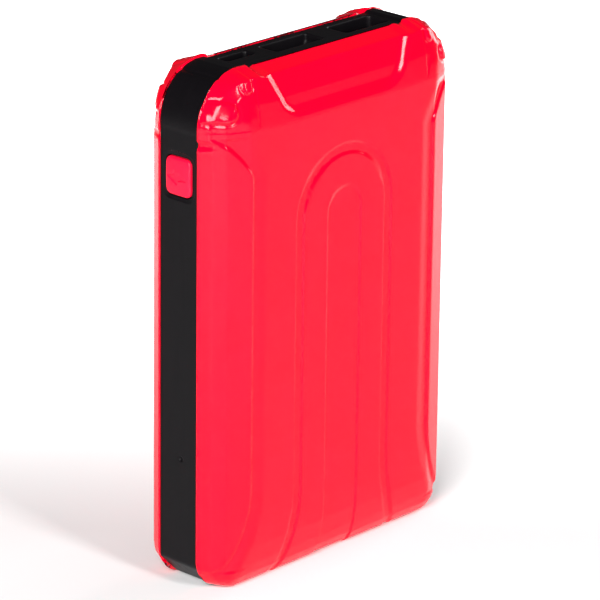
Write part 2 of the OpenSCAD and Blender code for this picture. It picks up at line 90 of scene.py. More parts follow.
class JumpPackRelief(bpy.types.PropertyGroup):
    groove_depth: length("Groove depth", "Depth of the hairpin groove and the pocket", 0.42)
    panel_depth: length("Panel depth", "Depth of the panel under the sockets", 1.0)
    valley_depth: length("Valley depth", "Depth of the valley beside each side rail", 0.55)
    finger_height: length("Finger height", "How far the corner fingers stand up", 0.5)
    bolt_depth: length("Bolt depth", "How deep the bolt sign is pressed into the button", 0.3)
    fine: bpy.props.FloatProperty(name="Fineness", default=1.0, min=0.3, max=1.4,
                                  description="Grid lines per standard line on the covers")


class JumpPackFinish(bpy.types.PropertyGroup):
    cover_red: colour("Cover red", "Base colour of the two covers", (0.86, 0.0, 0.017))
    button_red: colour("Button red", "Base colour of the button cap", (0.88, 0.004, 0.035))
    band_black: colour("Band black", "Base colour of the band between the covers", (0.0026, 0.002, 0.0027))
    floor_white: colour("Floor white", "Colour of the floor under the pack", (0.86, 0.86, 0.86))


# ---- curves ------------------------------------------------------------------------------------

def smooth(t):
    """Smooth step: 3 t^2 - 2 t^3 with t held between 0 and 1."""
    t = np.clip(t, 0.0, 1.0)
    return t * t * (3.0 - 2.0 * t)


def hill(t, height, rise_from, rise, fall_from, fall):
    """A hill of the given height: a smooth step up over one stretch and a smooth step down over another."""
    return height * smooth((t - rise_from) / rise) * (1.0 - smooth((t - fall_from) / fall))


def bell(t, height, middle, width):
    """A bell curve: height times exp(-((t - middle) / width)^2)."""
    return height * np.exp(-((t - middle) / width) ** 2)


def inside(distance, edge, over):
    """1 inside an outline and 0 outside: a smooth step down that ends edge outside it and is over wide."""
    return smooth((edge - distance) / over)


def soft_min(a, b, width):
    """The smaller of two heights, rounded where they are nearly equal."""
    h = np.clip(0.5 + 0.5 * (b - a) / width, 0.0, 1.0)
    return b * (1.0 - h) + a * h - width * h * (1.0 - h)


def soften(values, passes):
    """Each pass replaces every inner value by half of itself and a quarter of each neighbour."""
    out = np.array(values, float)
    for _ in range(passes):
        out[1:-1] = 0.25 * out[:-2] + 0.5 * out[1:-1] + 0.25 * out[2:]
    return out


def line(start, end, step):
    """Points evenly spaced from start to end, no further apart than the step."""
    n = max(1, int(math.ceil(math.hypot(end[0] - start[0], end[1] - start[1]) / step)))
    t = np.linspace(0.0, 1.0, n + 1)[:, None]
    return (1 - t) * np.array(start) + t * np.array(end)


def square_loop(along, across):
    """A closed loop round the square from -1 to 1, with the given places along its sides."""
    a, b = np.ones(len(along) - 1), np.ones(len(across) - 1)
    return np.concatenate([np.stack([along[:-1], -a], -1), np.stack([b, across[:-1]], -1),
                           np.stack([along[:0:-1], a], -1), np.stack([-b, across[:0:-1]], -1)])


def rounded_outline(loop, half_a, half_b, radius):
    """Moves points of a square loop (-1 to 1) onto a rounded rectangle of the given half sides."""
    p = loop * np.array([half_a, half_b])
    core = np.clip(p, [radius - half_a, radius - half_b], [half_a - radius, half_b - radius])
    out = p - core
    return core + radius * out / np.maximum(np.hypot(out[:, 0], out[:, 1])[:, None], 1e-9)


# ---- meshes ------------------------------------------------------------------------------------

def grid_faces(index, wrap=False):
    """Quads between neighbouring rows and columns of an index grid, wrapped along the rows if asked."""
    if wrap:
        index = np.concatenate([index, index[:, :1]], axis=1)
    a, b, c, d = index[:-1, :-1], index[:-1, 1:], index[1:, 1:], index[1:, :-1]
    return np.stack([a, b, c, d], axis=-1).reshape(-1, 4)


def fan_faces(loop, centre):
    """Triangles from a closed loop of indices to one centre index."""
    return np.stack([loop, np.roll(loop, -1), np.full_like(loop, centre)], axis=-1)


def clean_faces(block):
    """The faces with no doubled corner, then a triangle for each quad that has one."""
    same = block == np.roll(block, -1, axis=1)
    yield block[~same.any(axis=1)]
    if block.shape[1] == 4:
        folded = block[same.sum(axis=1) == 1]
        yield folded[~(folded == np.roll(folded, -1, axis=1))].reshape(-1, 3)


class Skin:
    """Gathers points (mm) and faces from several grids and makes one closed mesh of them."""

    def __init__(self):
        self.points, self.quads, self.tris, self.count = [], [], [], 0

    def add(self, points):
        """Adds an array of points of any shape (..., 3) and gives back its indices in the same shape."""
        shape = points.shape[:-1]
        self.points.append(points.reshape(-1, 3))
        index = np.arange(self.count, self.count + int(np.prod(shape))).reshape(shape)
        self.count += index.size
        return index

    def build(self, name, material, merge=0.004):
        """Merges points that round to the same step, drops collapsed faces and shades the mesh smooth."""
        points = np.concatenate(self.points)
        key = np.round(points / merge).astype(np.int64)
        _, first, back = np.unique(key, axis=0, return_index=True, return_inverse=True)
        back = back.reshape(-1)
        points = points[first] * MM
        loops, starts, totals, at = [], [], [], 0
        for block in self.quads + self.tris:
            for faces in clean_faces(back[block]):
                corners = faces.shape[1]
                loops.append(faces.reshape(-1))
                starts.append(at + corners * np.arange(len(faces)))
                totals.append(np.full(len(faces), corners))
                at += faces.size
        loops, starts, totals = (np.concatenate(v).astype(np.int32) for v in (loops, starts, totals))
        mesh = bpy.data.meshes.new(name)
        mesh.vertices.add(len(points))
        mesh.vertices.foreach_set("co", points.astype(np.float32).reshape(-1))
        mesh.loops.add(len(loops))
        mesh.loops.foreach_set("vertex_index", loops)
        mesh.polygons.add(len(starts))
        mesh.polygons.foreach_set("loop_start", starts)
        mesh.polygons.foreach_set("loop_total", totals)
        mesh.update(calc_edges=True)
        mesh.validate()
        mesh.polygons.foreach_set("use_smooth", np.ones(len(mesh.polygons), bool))
        mesh.materials.append(material)
        obj = bpy.data.objects.new(name, mesh)
        bpy.context.scene.collection.objects.link(obj)
        return obj


# ---- outline of the covers (mm) ----------------------------------------------------------------

# hills are (height, rise from, rise over, fall from, fall over); bells are (height, middle, width)
FLAT_END, FLAT_BLEND = 21.0, 8.0
NOTCH_SHIFT = 1.5
STEP_DEPTH, STEP_FROM, STEP_OVER = 0.4, 23.2, 2.6
BUMPER_RAMP = (0.45, 24.5, 1.2, 26.0, 4.0)
RAMP_SHARE = 0.6
TOP_NOTCH = (-0.5, 22.2, 1.8, 24.3, 1.3)
TOP_DIP = (-0.28, 33.3, 0.6)
SIDE_NOTCH = (-0.55, 104.8, 1.3, 106.4, 1.0)
FOOT_STEP = (-0.2, 3.2, 0.8)
SIDE_ARC_FROM, SIDE_ARC_OVER = 100.0, 8.0
TOP_CLEARANCE = 0.01


def flat_middle(x):
    """1 over the flat middle of the top, falling to 0 where the bumper's arc takes over."""
    return 1.0 - smooth((np.abs(x) - FLAT_END) / FLAT_BLEND)


def top_arc(x):
    """Height of the plain top edge: flat, then the corner's arc."""
    over = np.clip(np.abs(x) - BUMPER_C[0], 0.0, TOP_R)
    return BUMPER_C[1] + np.sqrt(TOP_R ** 2 - over ** 2) - FLAT_DROP * flat_middle(x)


def top_relief(x):
    """What the step, the bumper's ramp, the notch and the small dip add to the plain top edge."""
    a = np.abs(x) - NOTCH_SHIFT * (x > 0)
    before_step = 1.0 - smooth((a - STEP_FROM) / STEP_OVER)
    step = STEP_DEPTH * (flat_middle(x) - before_step)
    return step + hill(a, *BUMPER_RAMP) * RAMP_SHARE + hill(a, *TOP_NOTCH) + bell(np.abs(x), *TOP_DIP)


def top_edge(x):
    """Height of the covers' top edge: flat, then a notch, then the corner bumper's arc with a small dip."""
    return np.minimum(top_arc(x) + top_relief(x), BUMPER_TOP - TOP_CLEARANCE)


def arc_reach(over, radius):
    """How far a circle of the given radius reaches at a distance from its middle, by Pythagoras."""
    return np.sqrt(np.clip(radius ** 2 - np.clip(over, 0.0, radius) ** 2, 0.0, None))


def side_arc(z):
    """Half width of the plain side: foot arc, straight side, then the corner's arc."""
    foot = HALF_W - FOOT_R + arc_reach(FOOT_R - z, FOOT_R)
    arc = BUMPER_C[0] + arc_reach(z - BUMPER_C[1], TOP_R)
    lift = smooth((z - SIDE_ARC_FROM) / SIDE_ARC_OVER)
    return foot * (1.0 - lift) + arc * lift


def side_relief(z):
    """What the side notch and the small step at the foot add to the plain side."""
    return hill(z, *SIDE_NOTCH) + bell(z, *FOOT_STEP)


def side_edge(z):
    """Half width of the covers at a height, with the notch that ends the bumper."""
    return side_arc(z) + side_relief(z)


def foot_edge(x):
    """Height of the covers' bottom edge: flat foot, then the foot corner's arc."""
    return FOOT_R - arc_reach(np.abs(x) - (HALF_W - FOOT_R), FOOT_R)


# how far the middle of a corner's arc lies from the arc's centre, across and up
CORNER_TOP = TOP_R * math.sqrt(0.5)
CORNER_LOW = FOOT_R * math.sqrt(0.5)


def case_grid(w, v):
    """Places a grid over the outline: x is w times the side's half width at v, z runs from foot to top.

    w runs from -1 to 1 across and v from 0 to 1 upwards; the grid's corners sit at the middle of the
    outline's corner arcs, so its four sides follow the whole outline.
    """
    low_x, top_x = HALF_W - FOOT_R + CORNER_LOW, BUMPER_C[0] + CORNER_TOP
    low_z, top_z = FOOT_R - CORNER_LOW, BUMPER_C[1] + CORNER_TOP
    side = side_edge(low_z + (top_z - low_z) * v)
    x = w[None, :] * side[:, None]
    foot, top = foot_edge(w * low_x), top_edge(w * top_x)
    z = (1.0 - v)[:, None] * foot[None, :] + v[:, None] * top[None, :]
    return x, z


# ---- bulge of the covers (mm) ------------------------------------------------------------------

PROFILE_REACH, PROFILE_STEPS, PROFILE_PAD = 40.0, 4000, 199


def profile(points, rounding):
    """A profile through the given (distance, height) points, its corners rounded, as a function."""
    reach = np.linspace(0.0, PROFILE_REACH, PROFILE_STEPS + 1)
    table = np.interp(reach, [p[0] for p in points], [p[1] for p in points])
    mirrored = table[:1] * 2 - table[1:PROFILE_PAD + 1][::-1]
    table = soften(np.concatenate([mirrored, table]), rounding)[PROFILE_PAD:]
    table[0] = points[0][1]
    return lambda distance: np.interp(distance, reach, table)


SIDE_PROFILE = profile([(0.0, 5.9), (1.6, 9.06), (4.0, 11.35), (9.8, 13.5), (11.5, 13.58), (40, 13.6)], 260)
TOP_PROFILE = profile([(0.0, 5.9), (1.55, 11.15), (7.0, 12.6), (13.0, 13.38), (20.0, 13.6), (40, 13.6)], 200)
FOOT_PROFILE = profile([(0.0, 9.3), (1.0, 10.5), (3.0, 11.7), (5.5, 12.45), (10.0, 13.2), (16.0, 13.52),
                        (22.0, 13.6), (40, 13.6)], 400)
SIDE_FADE, TOP_FADE = 1.6, 0.9
TOP_FOOT_BLEND, RIDGE_BLEND = 0.05, 0.35
TOP_TURN_FROM, FOOT_TURN_FROM = 0.5, 0.0


def faded(distance, relief, reach):
    """Distance from an edge with relief on it; the relief dies away inwards over the reach."""
    return np.maximum(distance + relief * np.exp(-np.maximum(distance, 0.0) / reach), 0.0)


def corner_place(across, along, radius):
    """Whether points lie in a corner's square, how deep under its arc, and how far round it.

    The turn is 0 beside the side and 1 at the top or the foot.
    """
    depth = np.maximum(radius - np.hypot(across, along), 0.0)
    turn = np.arctan2(along, np.maximum(across, 1e-6)) / (0.5 * math.pi)
    return (across > 0) & (along > 0), depth, turn


def base_height(x, z):
    """Height of the plain cover: the side, top and foot profiles, swept round the corner arcs."""
    a = np.abs(x)
    side = SIDE_PROFILE(faded(side_arc(z) - a, side_relief(z), SIDE_FADE))
    top = TOP_PROFILE(faded(top_arc(x) - z, top_relief(x), TOP_FADE))
    y = soft_min(side, soft_min(top, FOOT_PROFILE(z), TOP_FOOT_BLEND), RIDGE_BLEND)
    corners = ((a - BUMPER_C[0], z - BUMPER_C[1], TOP_R, TOP_PROFILE, TOP_TURN_FROM),
               (a - (HALF_W - FOOT_R), FOOT_R - z, FOOT_R, FOOT_PROFILE, FOOT_TURN_FROM))
    for across, along, radius, end_profile, turn_from in corners:
        within, depth, turn = corner_place(across, along, radius)
        weight = smooth((turn - turn_from) / (1.0 - turn_from))
        corner = SIDE_PROFILE(depth) * (1.0 - weight) + end_profile(depth) * weight
        y = np.where(within, soft_min(y, corner, RIDGE_BLEND), y)
    return y


# ---- grooves, rails, panel and fingers (mm) ----------------------------------------------------

# hairpins are (half width, height of the apex, splay of the legs); edges are (edge, over) for inside()
GROOVE_OUTER, GROOVE_INNER = (15.75, 99.5, 0.0118), (13.4, 97.1, 0.0118)
POCKET = (5.45, 89.4, 0.0006)
SPLAY_BELOW = 21.5
GROOVE_EDGE, POCKET_EDGE = (0.28, 0.56), (0.26, 0.52)
# the rail's inner edge: place, how far it curves out, and each end's height, run and roundness
RAIL_X, RAIL_OUT = 29.6, 9.0
RAIL_TOP, RAIL_TOP_RUN, RAIL_TOP_ROUND = 97.7, 9.8, 1.3
RAIL_LOW, RAIL_LOW_RUN, RAIL_LOW_ROUND = 24.4, 19.5, 1.6
RAIL_STEP, RAIL_STEEPEST = 0.2, 6.0
# the valley's share of its depth, a hill over the distance from the rail
VALLEY = (1.0, -0.5, 0.9, 0.4, 3.8)
# the panel: its low edge, half width there, lean of its sides, corner radius and the slope's width
PANEL_LOW, PANEL_HALF, PANEL_LEAN, PANEL_R, PANEL_SLOPE = 108.9, 18.7, 0.49, 4.2, (0.0, 2.5)
# fingers are (tip, half width), each on its own line
SIDE_FINGER_Z, SIDE_FINGER = 113.5, (33.4, 2.1)
TOP_FINGER_X, TOP_FINGER = 29.9, (117.0, 1.1)
SIDE_FINGER_EDGE, TOP_FINGER_EDGE, TOP_FINGER_SHARE = (0.3, 0.6), (0.22, 0.45), 0.8
SIDE_MOAT, TOP_MOAT, MOAT_DEPTH, TOP_MOAT_END = (1.0, 0.5, 0.32), (0.7, 0.4, 0.27), 0.3, 33
CORNER_X, CORNER_X_OVER, CORNER_Z, CORNER_Z_OVER = 29.0, 3.0, 108.0, 1.5
# fingers and moats fade in over these heights, so that the cover's edge stays plain
RIM_FROM, RIM_OVER = 6.2, 1.2
FACE_CLEARANCE = 0.002


def hairpin_distance(x, z, half, apex, splay):
    """Distance outside a hairpin: a half circle on two legs that splay with the square of the way down."""
    centre = apex - half
    legs = np.abs(x) - splay * np.maximum(SPLAY_BELOW - z, 0.0) ** 2
    return np.where(z > centre, np.hypot(x, z - centre), legs) - half


def rail_turn(t, roundness):
    """How far a rail's end has curved out, 0 to 1: 1 - (1 - t^r)^(1/r) with t held between 0 and 1."""
    return 1.0 - (1.0 - np.clip(t, 0.0, 1.0) ** roundness) ** (1.0 / roundness)


def rail_line(z):
    """Distance of the rail's inner edge from the middle: straight, and curving out at both ends."""
    up = rail_turn((z - RAIL_TOP) / RAIL_TOP_RUN, RAIL_TOP_ROUND)
    down = rail_turn((RAIL_LOW - z) / RAIL_LOW_RUN, RAIL_LOW_ROUND)
    return RAIL_X + RAIL_OUT * (up + down)


def rail_distance(x, z):
    """Distance from the rail's inner edge, positive towards the middle, measured square to the edge."""
    slope = (rail_line(z + RAIL_STEP) - rail_line(z - RAIL_STEP)) / (2.0 * RAIL_STEP)
    return (rail_line(z) - np.abs(x)) / np.sqrt(1.0 + np.minimum(slope ** 2, RAIL_STEEPEST))


def rounded_corner(a, b, radius):
    """Distance outside the meeting of two half planes at distances a and b, with a rounded corner."""
    core = np.minimum(np.maximum(a, b), -radius)
    return core + np.hypot(np.maximum(a + radius, 0.0), np.maximum(b + radius, 0.0))


def panel_distance(x, z):
    """Distance outside the panel: a trapezium, wider at the top, its low corners rounded."""
    below = PANEL_LOW - z
    beside = (np.abs(x) - (PANEL_HALF + PANEL_LEAN * (z - PANEL_LOW))) / math.hypot(1.0, PANEL_LEAN)
    return rounded_corner(below, beside, PANEL_R)


def finger_distance(along, across, tip, half):
    """Distance outside a bar with a round tip that runs on outwards from the tip, centred on across = 0."""
    return np.hypot(np.maximum((tip + half) - along, 0.0), across) - half


def cover_height(x, z, relief):
    """Height of a cover over the case's middle plane, with its grooves, rails, panel and corner fingers."""
    groove, panel = relief.groove_depth / MM, relief.panel_depth / MM
    valley, finger = relief.valley_depth / MM, relief.finger_height / MM
    y = base_height(x, z)
    a = np.abs(x)
    # hairpin groove between its outer and inner edge, and the pocket
    outer, inner = hairpin_distance(x, z, *GROOVE_OUTER), hairpin_distance(x, z, *GROOVE_INNER)
    in_groove = inside(outer, *GROOVE_EDGE) * inside(-inner, *GROOVE_EDGE)
    in_pocket = inside(hairpin_distance(x, z, *POCKET), *POCKET_EDGE)
    y = y - groove * np.maximum(in_groove, in_pocket)
    # valley beside the rail, and the panel
    y = y - valley * hill(rail_distance(x, z), *VALLEY)
    y = y - panel * inside(panel_distance(x, z), *PANEL_SLOPE)
    # corner fingers, one from the side and a smaller one from the top, each with a moat round it
    near = smooth((a - CORNER_X) / CORNER_X_OVER) * smooth((z - CORNER_Z) / CORNER_Z_OVER)
    side = finger_distance(a, z - SIDE_FINGER_Z, *SIDE_FINGER)
    top = finger_distance(z, a - TOP_FINGER_X, *TOP_FINGER)
    lift = np.maximum(inside(side, *SIDE_FINGER_EDGE), TOP_FINGER_SHARE * inside(top, *TOP_FINGER_EDGE))
    moat = bell(side, *SIDE_MOAT) * near + bell(top, *TOP_MOAT) * (a < TOP_MOAT_END)
    rim = smooth((y - RIM_FROM) / RIM_OVER)
    y = y + rim * (finger * lift - MOAT_DEPTH * moat)
    return np.clip(y, HALF_BAND, FRONT_Y - FACE_CLEARANCE)


# ---- covers ------------------------------------------------------------------------------------

# grid lines: the breaks between stretches, and each stretch's step
COLUMN_BREAKS = [0, 4.6, 6.4, 12.4, 16.6, 25.6, 31.2, 35.5, 39.2, HALF_W]
COLUMN_STEPS = [0.7, 0.15, 0.75, 0.15, 0.42, 0.15, 0.33, 0.22, 0.13]
ROW_BREAKS = [0, 1.2, 5, 26, 82, 90.5, 96, 100.5, 108, 112.6, 118.6, BUMPER_TOP]
ROW_STEPS = [0.12, 0.3, 0.55, 1.9, 0.5, 0.5, 0.25, 0.4, 0.22, 0.3, 0.11]
# rings of the rim, as shares of the edge's height over the band, and of the inside, as insets
RIM_SHARES = (0.66, 0.33, 0.0)
INSETS = (0.5 * WALL, WALL, WALL + 0.02, 3.0, 5.0, 8.0, 13.0, 22.0)


def spaced(breaks, steps, fine):
    """Values from the first break to the last, with each stretch's own step divided by the fineness."""
    parts = [np.linspace(lo, hi, max(1, int(round((hi - lo) / step * fine))) + 1)[:-1]
             for lo, hi, step in zip(breaks[:-1], breaks[1:], steps)]
    return np.concatenate(parts + [[breaks[-1]]])


def inset_ring(edge, inset):
    """The outline shrunk towards the middle by the inset, on the band's level or under the cover's wall."""
    ring = edge.copy()
    ring[:, 0] = edge[:, 0] * (1.0 - inset / HALF_W)
    ring[:, 2] = 0.5 * CASE_H + (edge[:, 2] - 0.5 * CASE_H) * (1.0 - inset / (0.5 * CASE_H))
    ring[:, 1] = HALF_BAND
    if inset > WALL:
        ring[:, 1] = np.maximum(base_height(ring[:, 0], ring[:, 2]) - WALL, HALF_BAND)
    return ring


def cover_skin(name, sign, relief, material):
    """A cover as one closed shell: the outer grid, a wall down to the band, the rim and rings on the inside.

    The outer side is the height function over the outline's grid; the inside follows the plain height on
    rings that shrink towards the middle, one wall's thickness lower. sign is -1 for the front and 1 for
    the rear.
    """
    half = spaced(COLUMN_BREAKS, COLUMN_STEPS, relief.fine)
    w = np.concatenate([-half[:0:-1], half]) / HALF_W
    x, z = case_grid(w, spaced(ROW_BREAKS, ROW_STEPS, relief.fine) / BUMPER_TOP)
    y = cover_height(x, z, relief)
    skin = Skin()
    grid = skin.add(np.stack([x, sign * y, z], axis=-1))
    faces = grid_faces(grid)
    skin.quads.append(faces if sign < 0 else faces[:, ::-1])
    loop = np.concatenate([grid[0, :-1], grid[:-1, -1], grid[-1, :0:-1], grid[:0:-1, 0]])
    edge = np.stack([x, y, z], axis=-1).reshape(-1, 3)[loop]
    rings = [edge]
    for share in RIM_SHARES:
        ring = edge.copy()
        ring[:, 1] = HALF_BAND + (edge[:, 1] - HALF_BAND) * share
        rings.append(ring)
    wall = np.stack(rings + [inset_ring(edge, inset) for inset in INSETS])
    wall[..., 1] *= sign
    index = skin.add(wall)
    faces = grid_faces(index, wrap=True)
    skin.quads.append(faces[:, ::-1] if sign < 0 else faces)
    centre = skin.add(np.array([[0.0, sign * (FRONT_Y - WALL), 0.5 * CASE_H]]))
    fan = fan_faces(index[-1], centre[0])
    skin.tris.append(fan[:, ::-1] if sign < 0 else fan)
    return skin.build(name, material)


# ---- band (mm) ---------------------------------------------------------------------------------

BAND_STEP = 0.3
BAND_X, BAND_TOP, BAND_LOW = HALF_W - BAND_STEP, CASE_H - BAND_STEP, BAND_STEP
BAND_WALL = 2.0
# the outer face ends in rounds of this radius, and its rims stop a hair short of the covers
BAND_ROUND, RIM_GAP = 0.3, 0.07
RIM_Y = HALF_BAND - RIM_GAP
FLAT_Y = RIM_Y - BAND_ROUND
BAND_LINES = 40
EDGE_TURN = np.radians(np.linspace(0.0, 90.0, 5))
EDGE_DEPTH = BAND_ROUND * (1 - np.cos(EDGE_TURN))
EDGE_Y = FLAT_Y + BAND_ROUND * np.sin(EDGE_TURN)
MIRROR = np.array([-1.0, 1.0])
# the dimple low on the button side: place across and up, radius, width of its edge and depth
DIMPLE_Y, DIMPLE_Z, DIMPLE_R, DIMPLE_EDGE, DIMPLE_DEPTH = -0.8, 31.1, 0.85, 0.6, 0.4
DIMPLE_ROOM, DIMPLE_STEP = 1.5, 0.12
# the foot corner is cut by a chamfer; its ends are rounded over a short way
FOOT_END, CHAMFER, CHAMFER_STEP, CHAMFER_ROUNDING = 7.7, 5.4, 0.4, 3
TOP_STEP, LONG_STEP, UPPER_STEP = 1.5, 6.0, 0.5
OPENING_STEP, OPENING_FEWEST = 0.35, 8
# the top corner: points before the arc, the arc's turn, and where it meets the flat top and the side
CORNER_LEAD = 13
CORNER_TURN = np.radians(np.linspace(90.0, -8.0, 91))
CORNER_RISE, SIDE_JOIN, SIDE_JOIN_OVER = 1.2, 107.3, 1.6


# an opening's rings: steps from the rectangle to the lip, and where the plain throat ends
MOUTH_SHARES, THROAT_END = (0.35, 0.7), 0.6 * BAND_WALL
# a collar leaves the throat, narrows to its neck and comes back to the wall in a wider skirt
COLLAR_FROM, COLLAR_NECK, SKIRT_GROWTH = 2.5, 2.7, (0.9, 0.15, 0.1)
WIDE_NECK_REACH, CLOSE_NECK_REACH, CLOSE_NECK_R, CLOSE_NECK_LAP = 2.85, 3.0, 0.3, (0.1, 0.12)


class Cutout:
    """A rounded opening in the band: its middle and half sides along the wall and across it, and its lip.

    The lip is a list of (how far it is grown, depth). A collar is (middle along, middle across, half
    length, half width, corner radius, depth), and closes the gap round the socket behind the opening.
    """

    def __init__(self, along, across, half_a, half_b, radius, lip, collar=None):
        self.along, self.across, self.half_a, self.half_b = along, across, half_a, half_b
        self.radius, self.lip, self.collar = radius, lip, collar

    def outline(self, loop, grow_a, grow_b, grow_r):
        """The opening's outline, grown along, across and in its corner radius."""
        flat = rounded_outline(loop, self.half_a + grow_a, self.half_b + grow_b, self.radius + grow_r)
        return flat + np.array([self.along, self.across])

    def rings(self, loop, square):
        """Pairs of outline and depth: the stretch's rectangle, the lip, the throat, the rectangle again."""
        mouth = self.outline(loop, *[self.lip[0][0]] * 3)
        rings = [(square, 0.0)] + [(square * (1 - k) + mouth * k, 0.0) for k in MOUTH_SHARES]
        rings += [(self.outline(loop, grow, grow, grow), deep) for grow, deep in self.lip]
        throat = rings[-1][0]
        rings.append((throat, THROAT_END))
        if self.collar is None:
            rings.append((throat, BAND_WALL))
        else:
            mid_a, mid_b, half_a, half_b, radius, reach = self.collar
            neck = rounded_outline(loop, half_a, half_b, radius) + np.array([mid_a, mid_b])
            skirt = self.outline(loop, *SKIRT_GROWTH)
            rings += [(throat, COLLAR_FROM), (neck, COLLAR_NECK), (neck, reach), (skirt, reach),
                      (skirt, BAND_WALL)]
        return rings + [(square, BAND_WALL)]


PORT_LIP = [(0.55, 0.0), (0.3, 0.03), (0.12, 0.12), (0.03, 0.28), (0.0, 0.5)]
WELL_LIP = [(0.95, 0.0), (0.85, 0.03), (0.78, 0.08), (0.7, 0.1), (0.12, 0.1), (0.04, 0.14), (0.0, 0.3)]


def socket_cut(node, across, width, depth, radius, lo, hi, close_neck):
    """An opening in the top over a socket's node, with the stretch from lo to hi that it sits in.

    A close neck fits just inside the node's own outline; any other neck is as wide as the opening.
    """
    node_lo, node_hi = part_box(node)
    x = 0.5 * (node_lo[0] + node_hi[0]) / MM
    along = x - 0.5 * (lo + hi)
    neck = (along, across, 0.5 * width, 0.5 * depth, radius, WIDE_NECK_REACH)
    if close_neck:
        lap_a, lap_b = CLOSE_NECK_LAP
        neck = (along, 0.5 * (node_lo[1] + node_hi[1]) / MM, 0.5 * (node_hi[0] - node_lo[0]) / MM - lap_a,
                0.5 * (node_hi[1] - node_lo[1]) / MM - lap_b, CLOSE_NECK_R, CLOSE_NECK_REACH)
    return Cutout(along, across, 0.5 * width, 0.5 * depth, radius, PORT_LIP, neck), lo, hi


TOP_CUTS = [socket_cut("micro_shell", 1.95, 8.8, 3.2, 0.8, -25.2, -13.5, True),
            socket_cut("usb_shell", 0.7, 15.3, 5.6, 0.5, -12.5, 6.5, True),
            socket_cut("jump_housing", 0.35, 14.3, 6.3, 0.9, 9.0, 26.4, False)]
# the button's well: the button's height and width with a gap round them, and the stretch that it sits in
BUTTON_H, BUTTON_W, WELL_GAP_Z, WELL_GAP_Y, WELL_R = 8.8, 7.7, 0.25, 0.2, 1.7
WELL_BELOW, WELL_ABOVE = 6.0, 5.6
WELL_LO, WELL_HI = BUTTON_Z - WELL_BELOW, BUTTON_Z + WELL_ABOVE
WELL_CUT = Cutout(0.5 * (WELL_BELOW - WELL_ABOVE), 0.0, 0.5 * BUTTON_H + WELL_GAP_Z,
                  0.5 * BUTTON_W + WELL_GAP_Y, WELL_R, WELL_LIP)


def inward_along(path, first, last):
    """Unit inward directions along a path that runs clockwise, with the two ends given."""
    ahead = np.gradient(path, axis=0)
    inward = np.stack([ahead[:, 1], -ahead[:, 0]], axis=-1)
    inward = inward / np.hypot(inward[:, 0], inward[:, 1])[:, None]
    inward[0], inward[-1] = first, last
    return inward


def corner_path(side, flat_end):
    """The covers' edge, one step lower, from the end of the flat top round the corner to the straight side.

    side is 1 for the right corner and -1 for the left, whose path is given as if it lay on the right.
    """
    lead = np.stack([np.linspace(flat_end, BUMPER_C[0], CORNER_LEAD + 1)[:-1],
                     np.full(CORNER_LEAD, BUMPER_TOP)], axis=-1)
    turned = np.concatenate([np.full(CORNER_LEAD, 0.5 * math.pi), CORNER_TURN])
    arc = np.concatenate([lead, np.stack([BUMPER_C[0] + TOP_R * np.cos(CORNER_TURN),
                                          BUMPER_C[1] + TOP_R * np.sin(CORNER_TURN)], axis=-1)])
    # the top's relief fades out down the arc and the side's fades in
    relief_top = (top_edge(side * arc[:, 0]) - arc[:, 1]) * smooth(np.sin(turned) * 2.0 - 0.4)
    relief_side = side_relief(arc[:, 1]) * smooth(1.4 - 2.0 * np.sin(turned))
    normal = np.stack([np.cos(turned), np.sin(turned)], axis=-1)
    edge = arc - (BAND_STEP - relief_top - relief_side)[:, None] * normal
    rise = smooth((arc[:, 0] - flat_end) / CORNER_RISE)
    edge[:, 1] = BAND_TOP * (1.0 - rise) + edge[:, 1] * rise
    join = smooth((arc[:, 1] - SIDE_JOIN) / SIDE_JOIN_OVER)
    edge[:, 0] = edge[:, 0] * join + np.minimum(arc[:, 0], BAND_X) * (1.0 - join)
    edge[-1, 0] = BAND_X
    return edge


def foot_path():
    """The foot corner on the right: down the side, over the chamfer and onto the foot."""
    upper, lower = np.array([BAND_X, BAND_LOW + CHAMFER]), np.array([BAND_X - CHAMFER, BAND_LOW])
    path = np.concatenate([line((BAND_X, BAND_LOW + FOOT_END), upper, CHAMFER_STEP)[:-1],
                           line(upper, lower, CHAMFER_STEP)[:-1],
                           line(lower, (BAND_X - FOOT_END, BAND_LOW), CHAMFER_STEP)])
    return np.stack([soften(path[:, 0], CHAMFER_ROUNDING), soften(path[:, 1], CHAMFER_ROUNDING)], axis=-1)


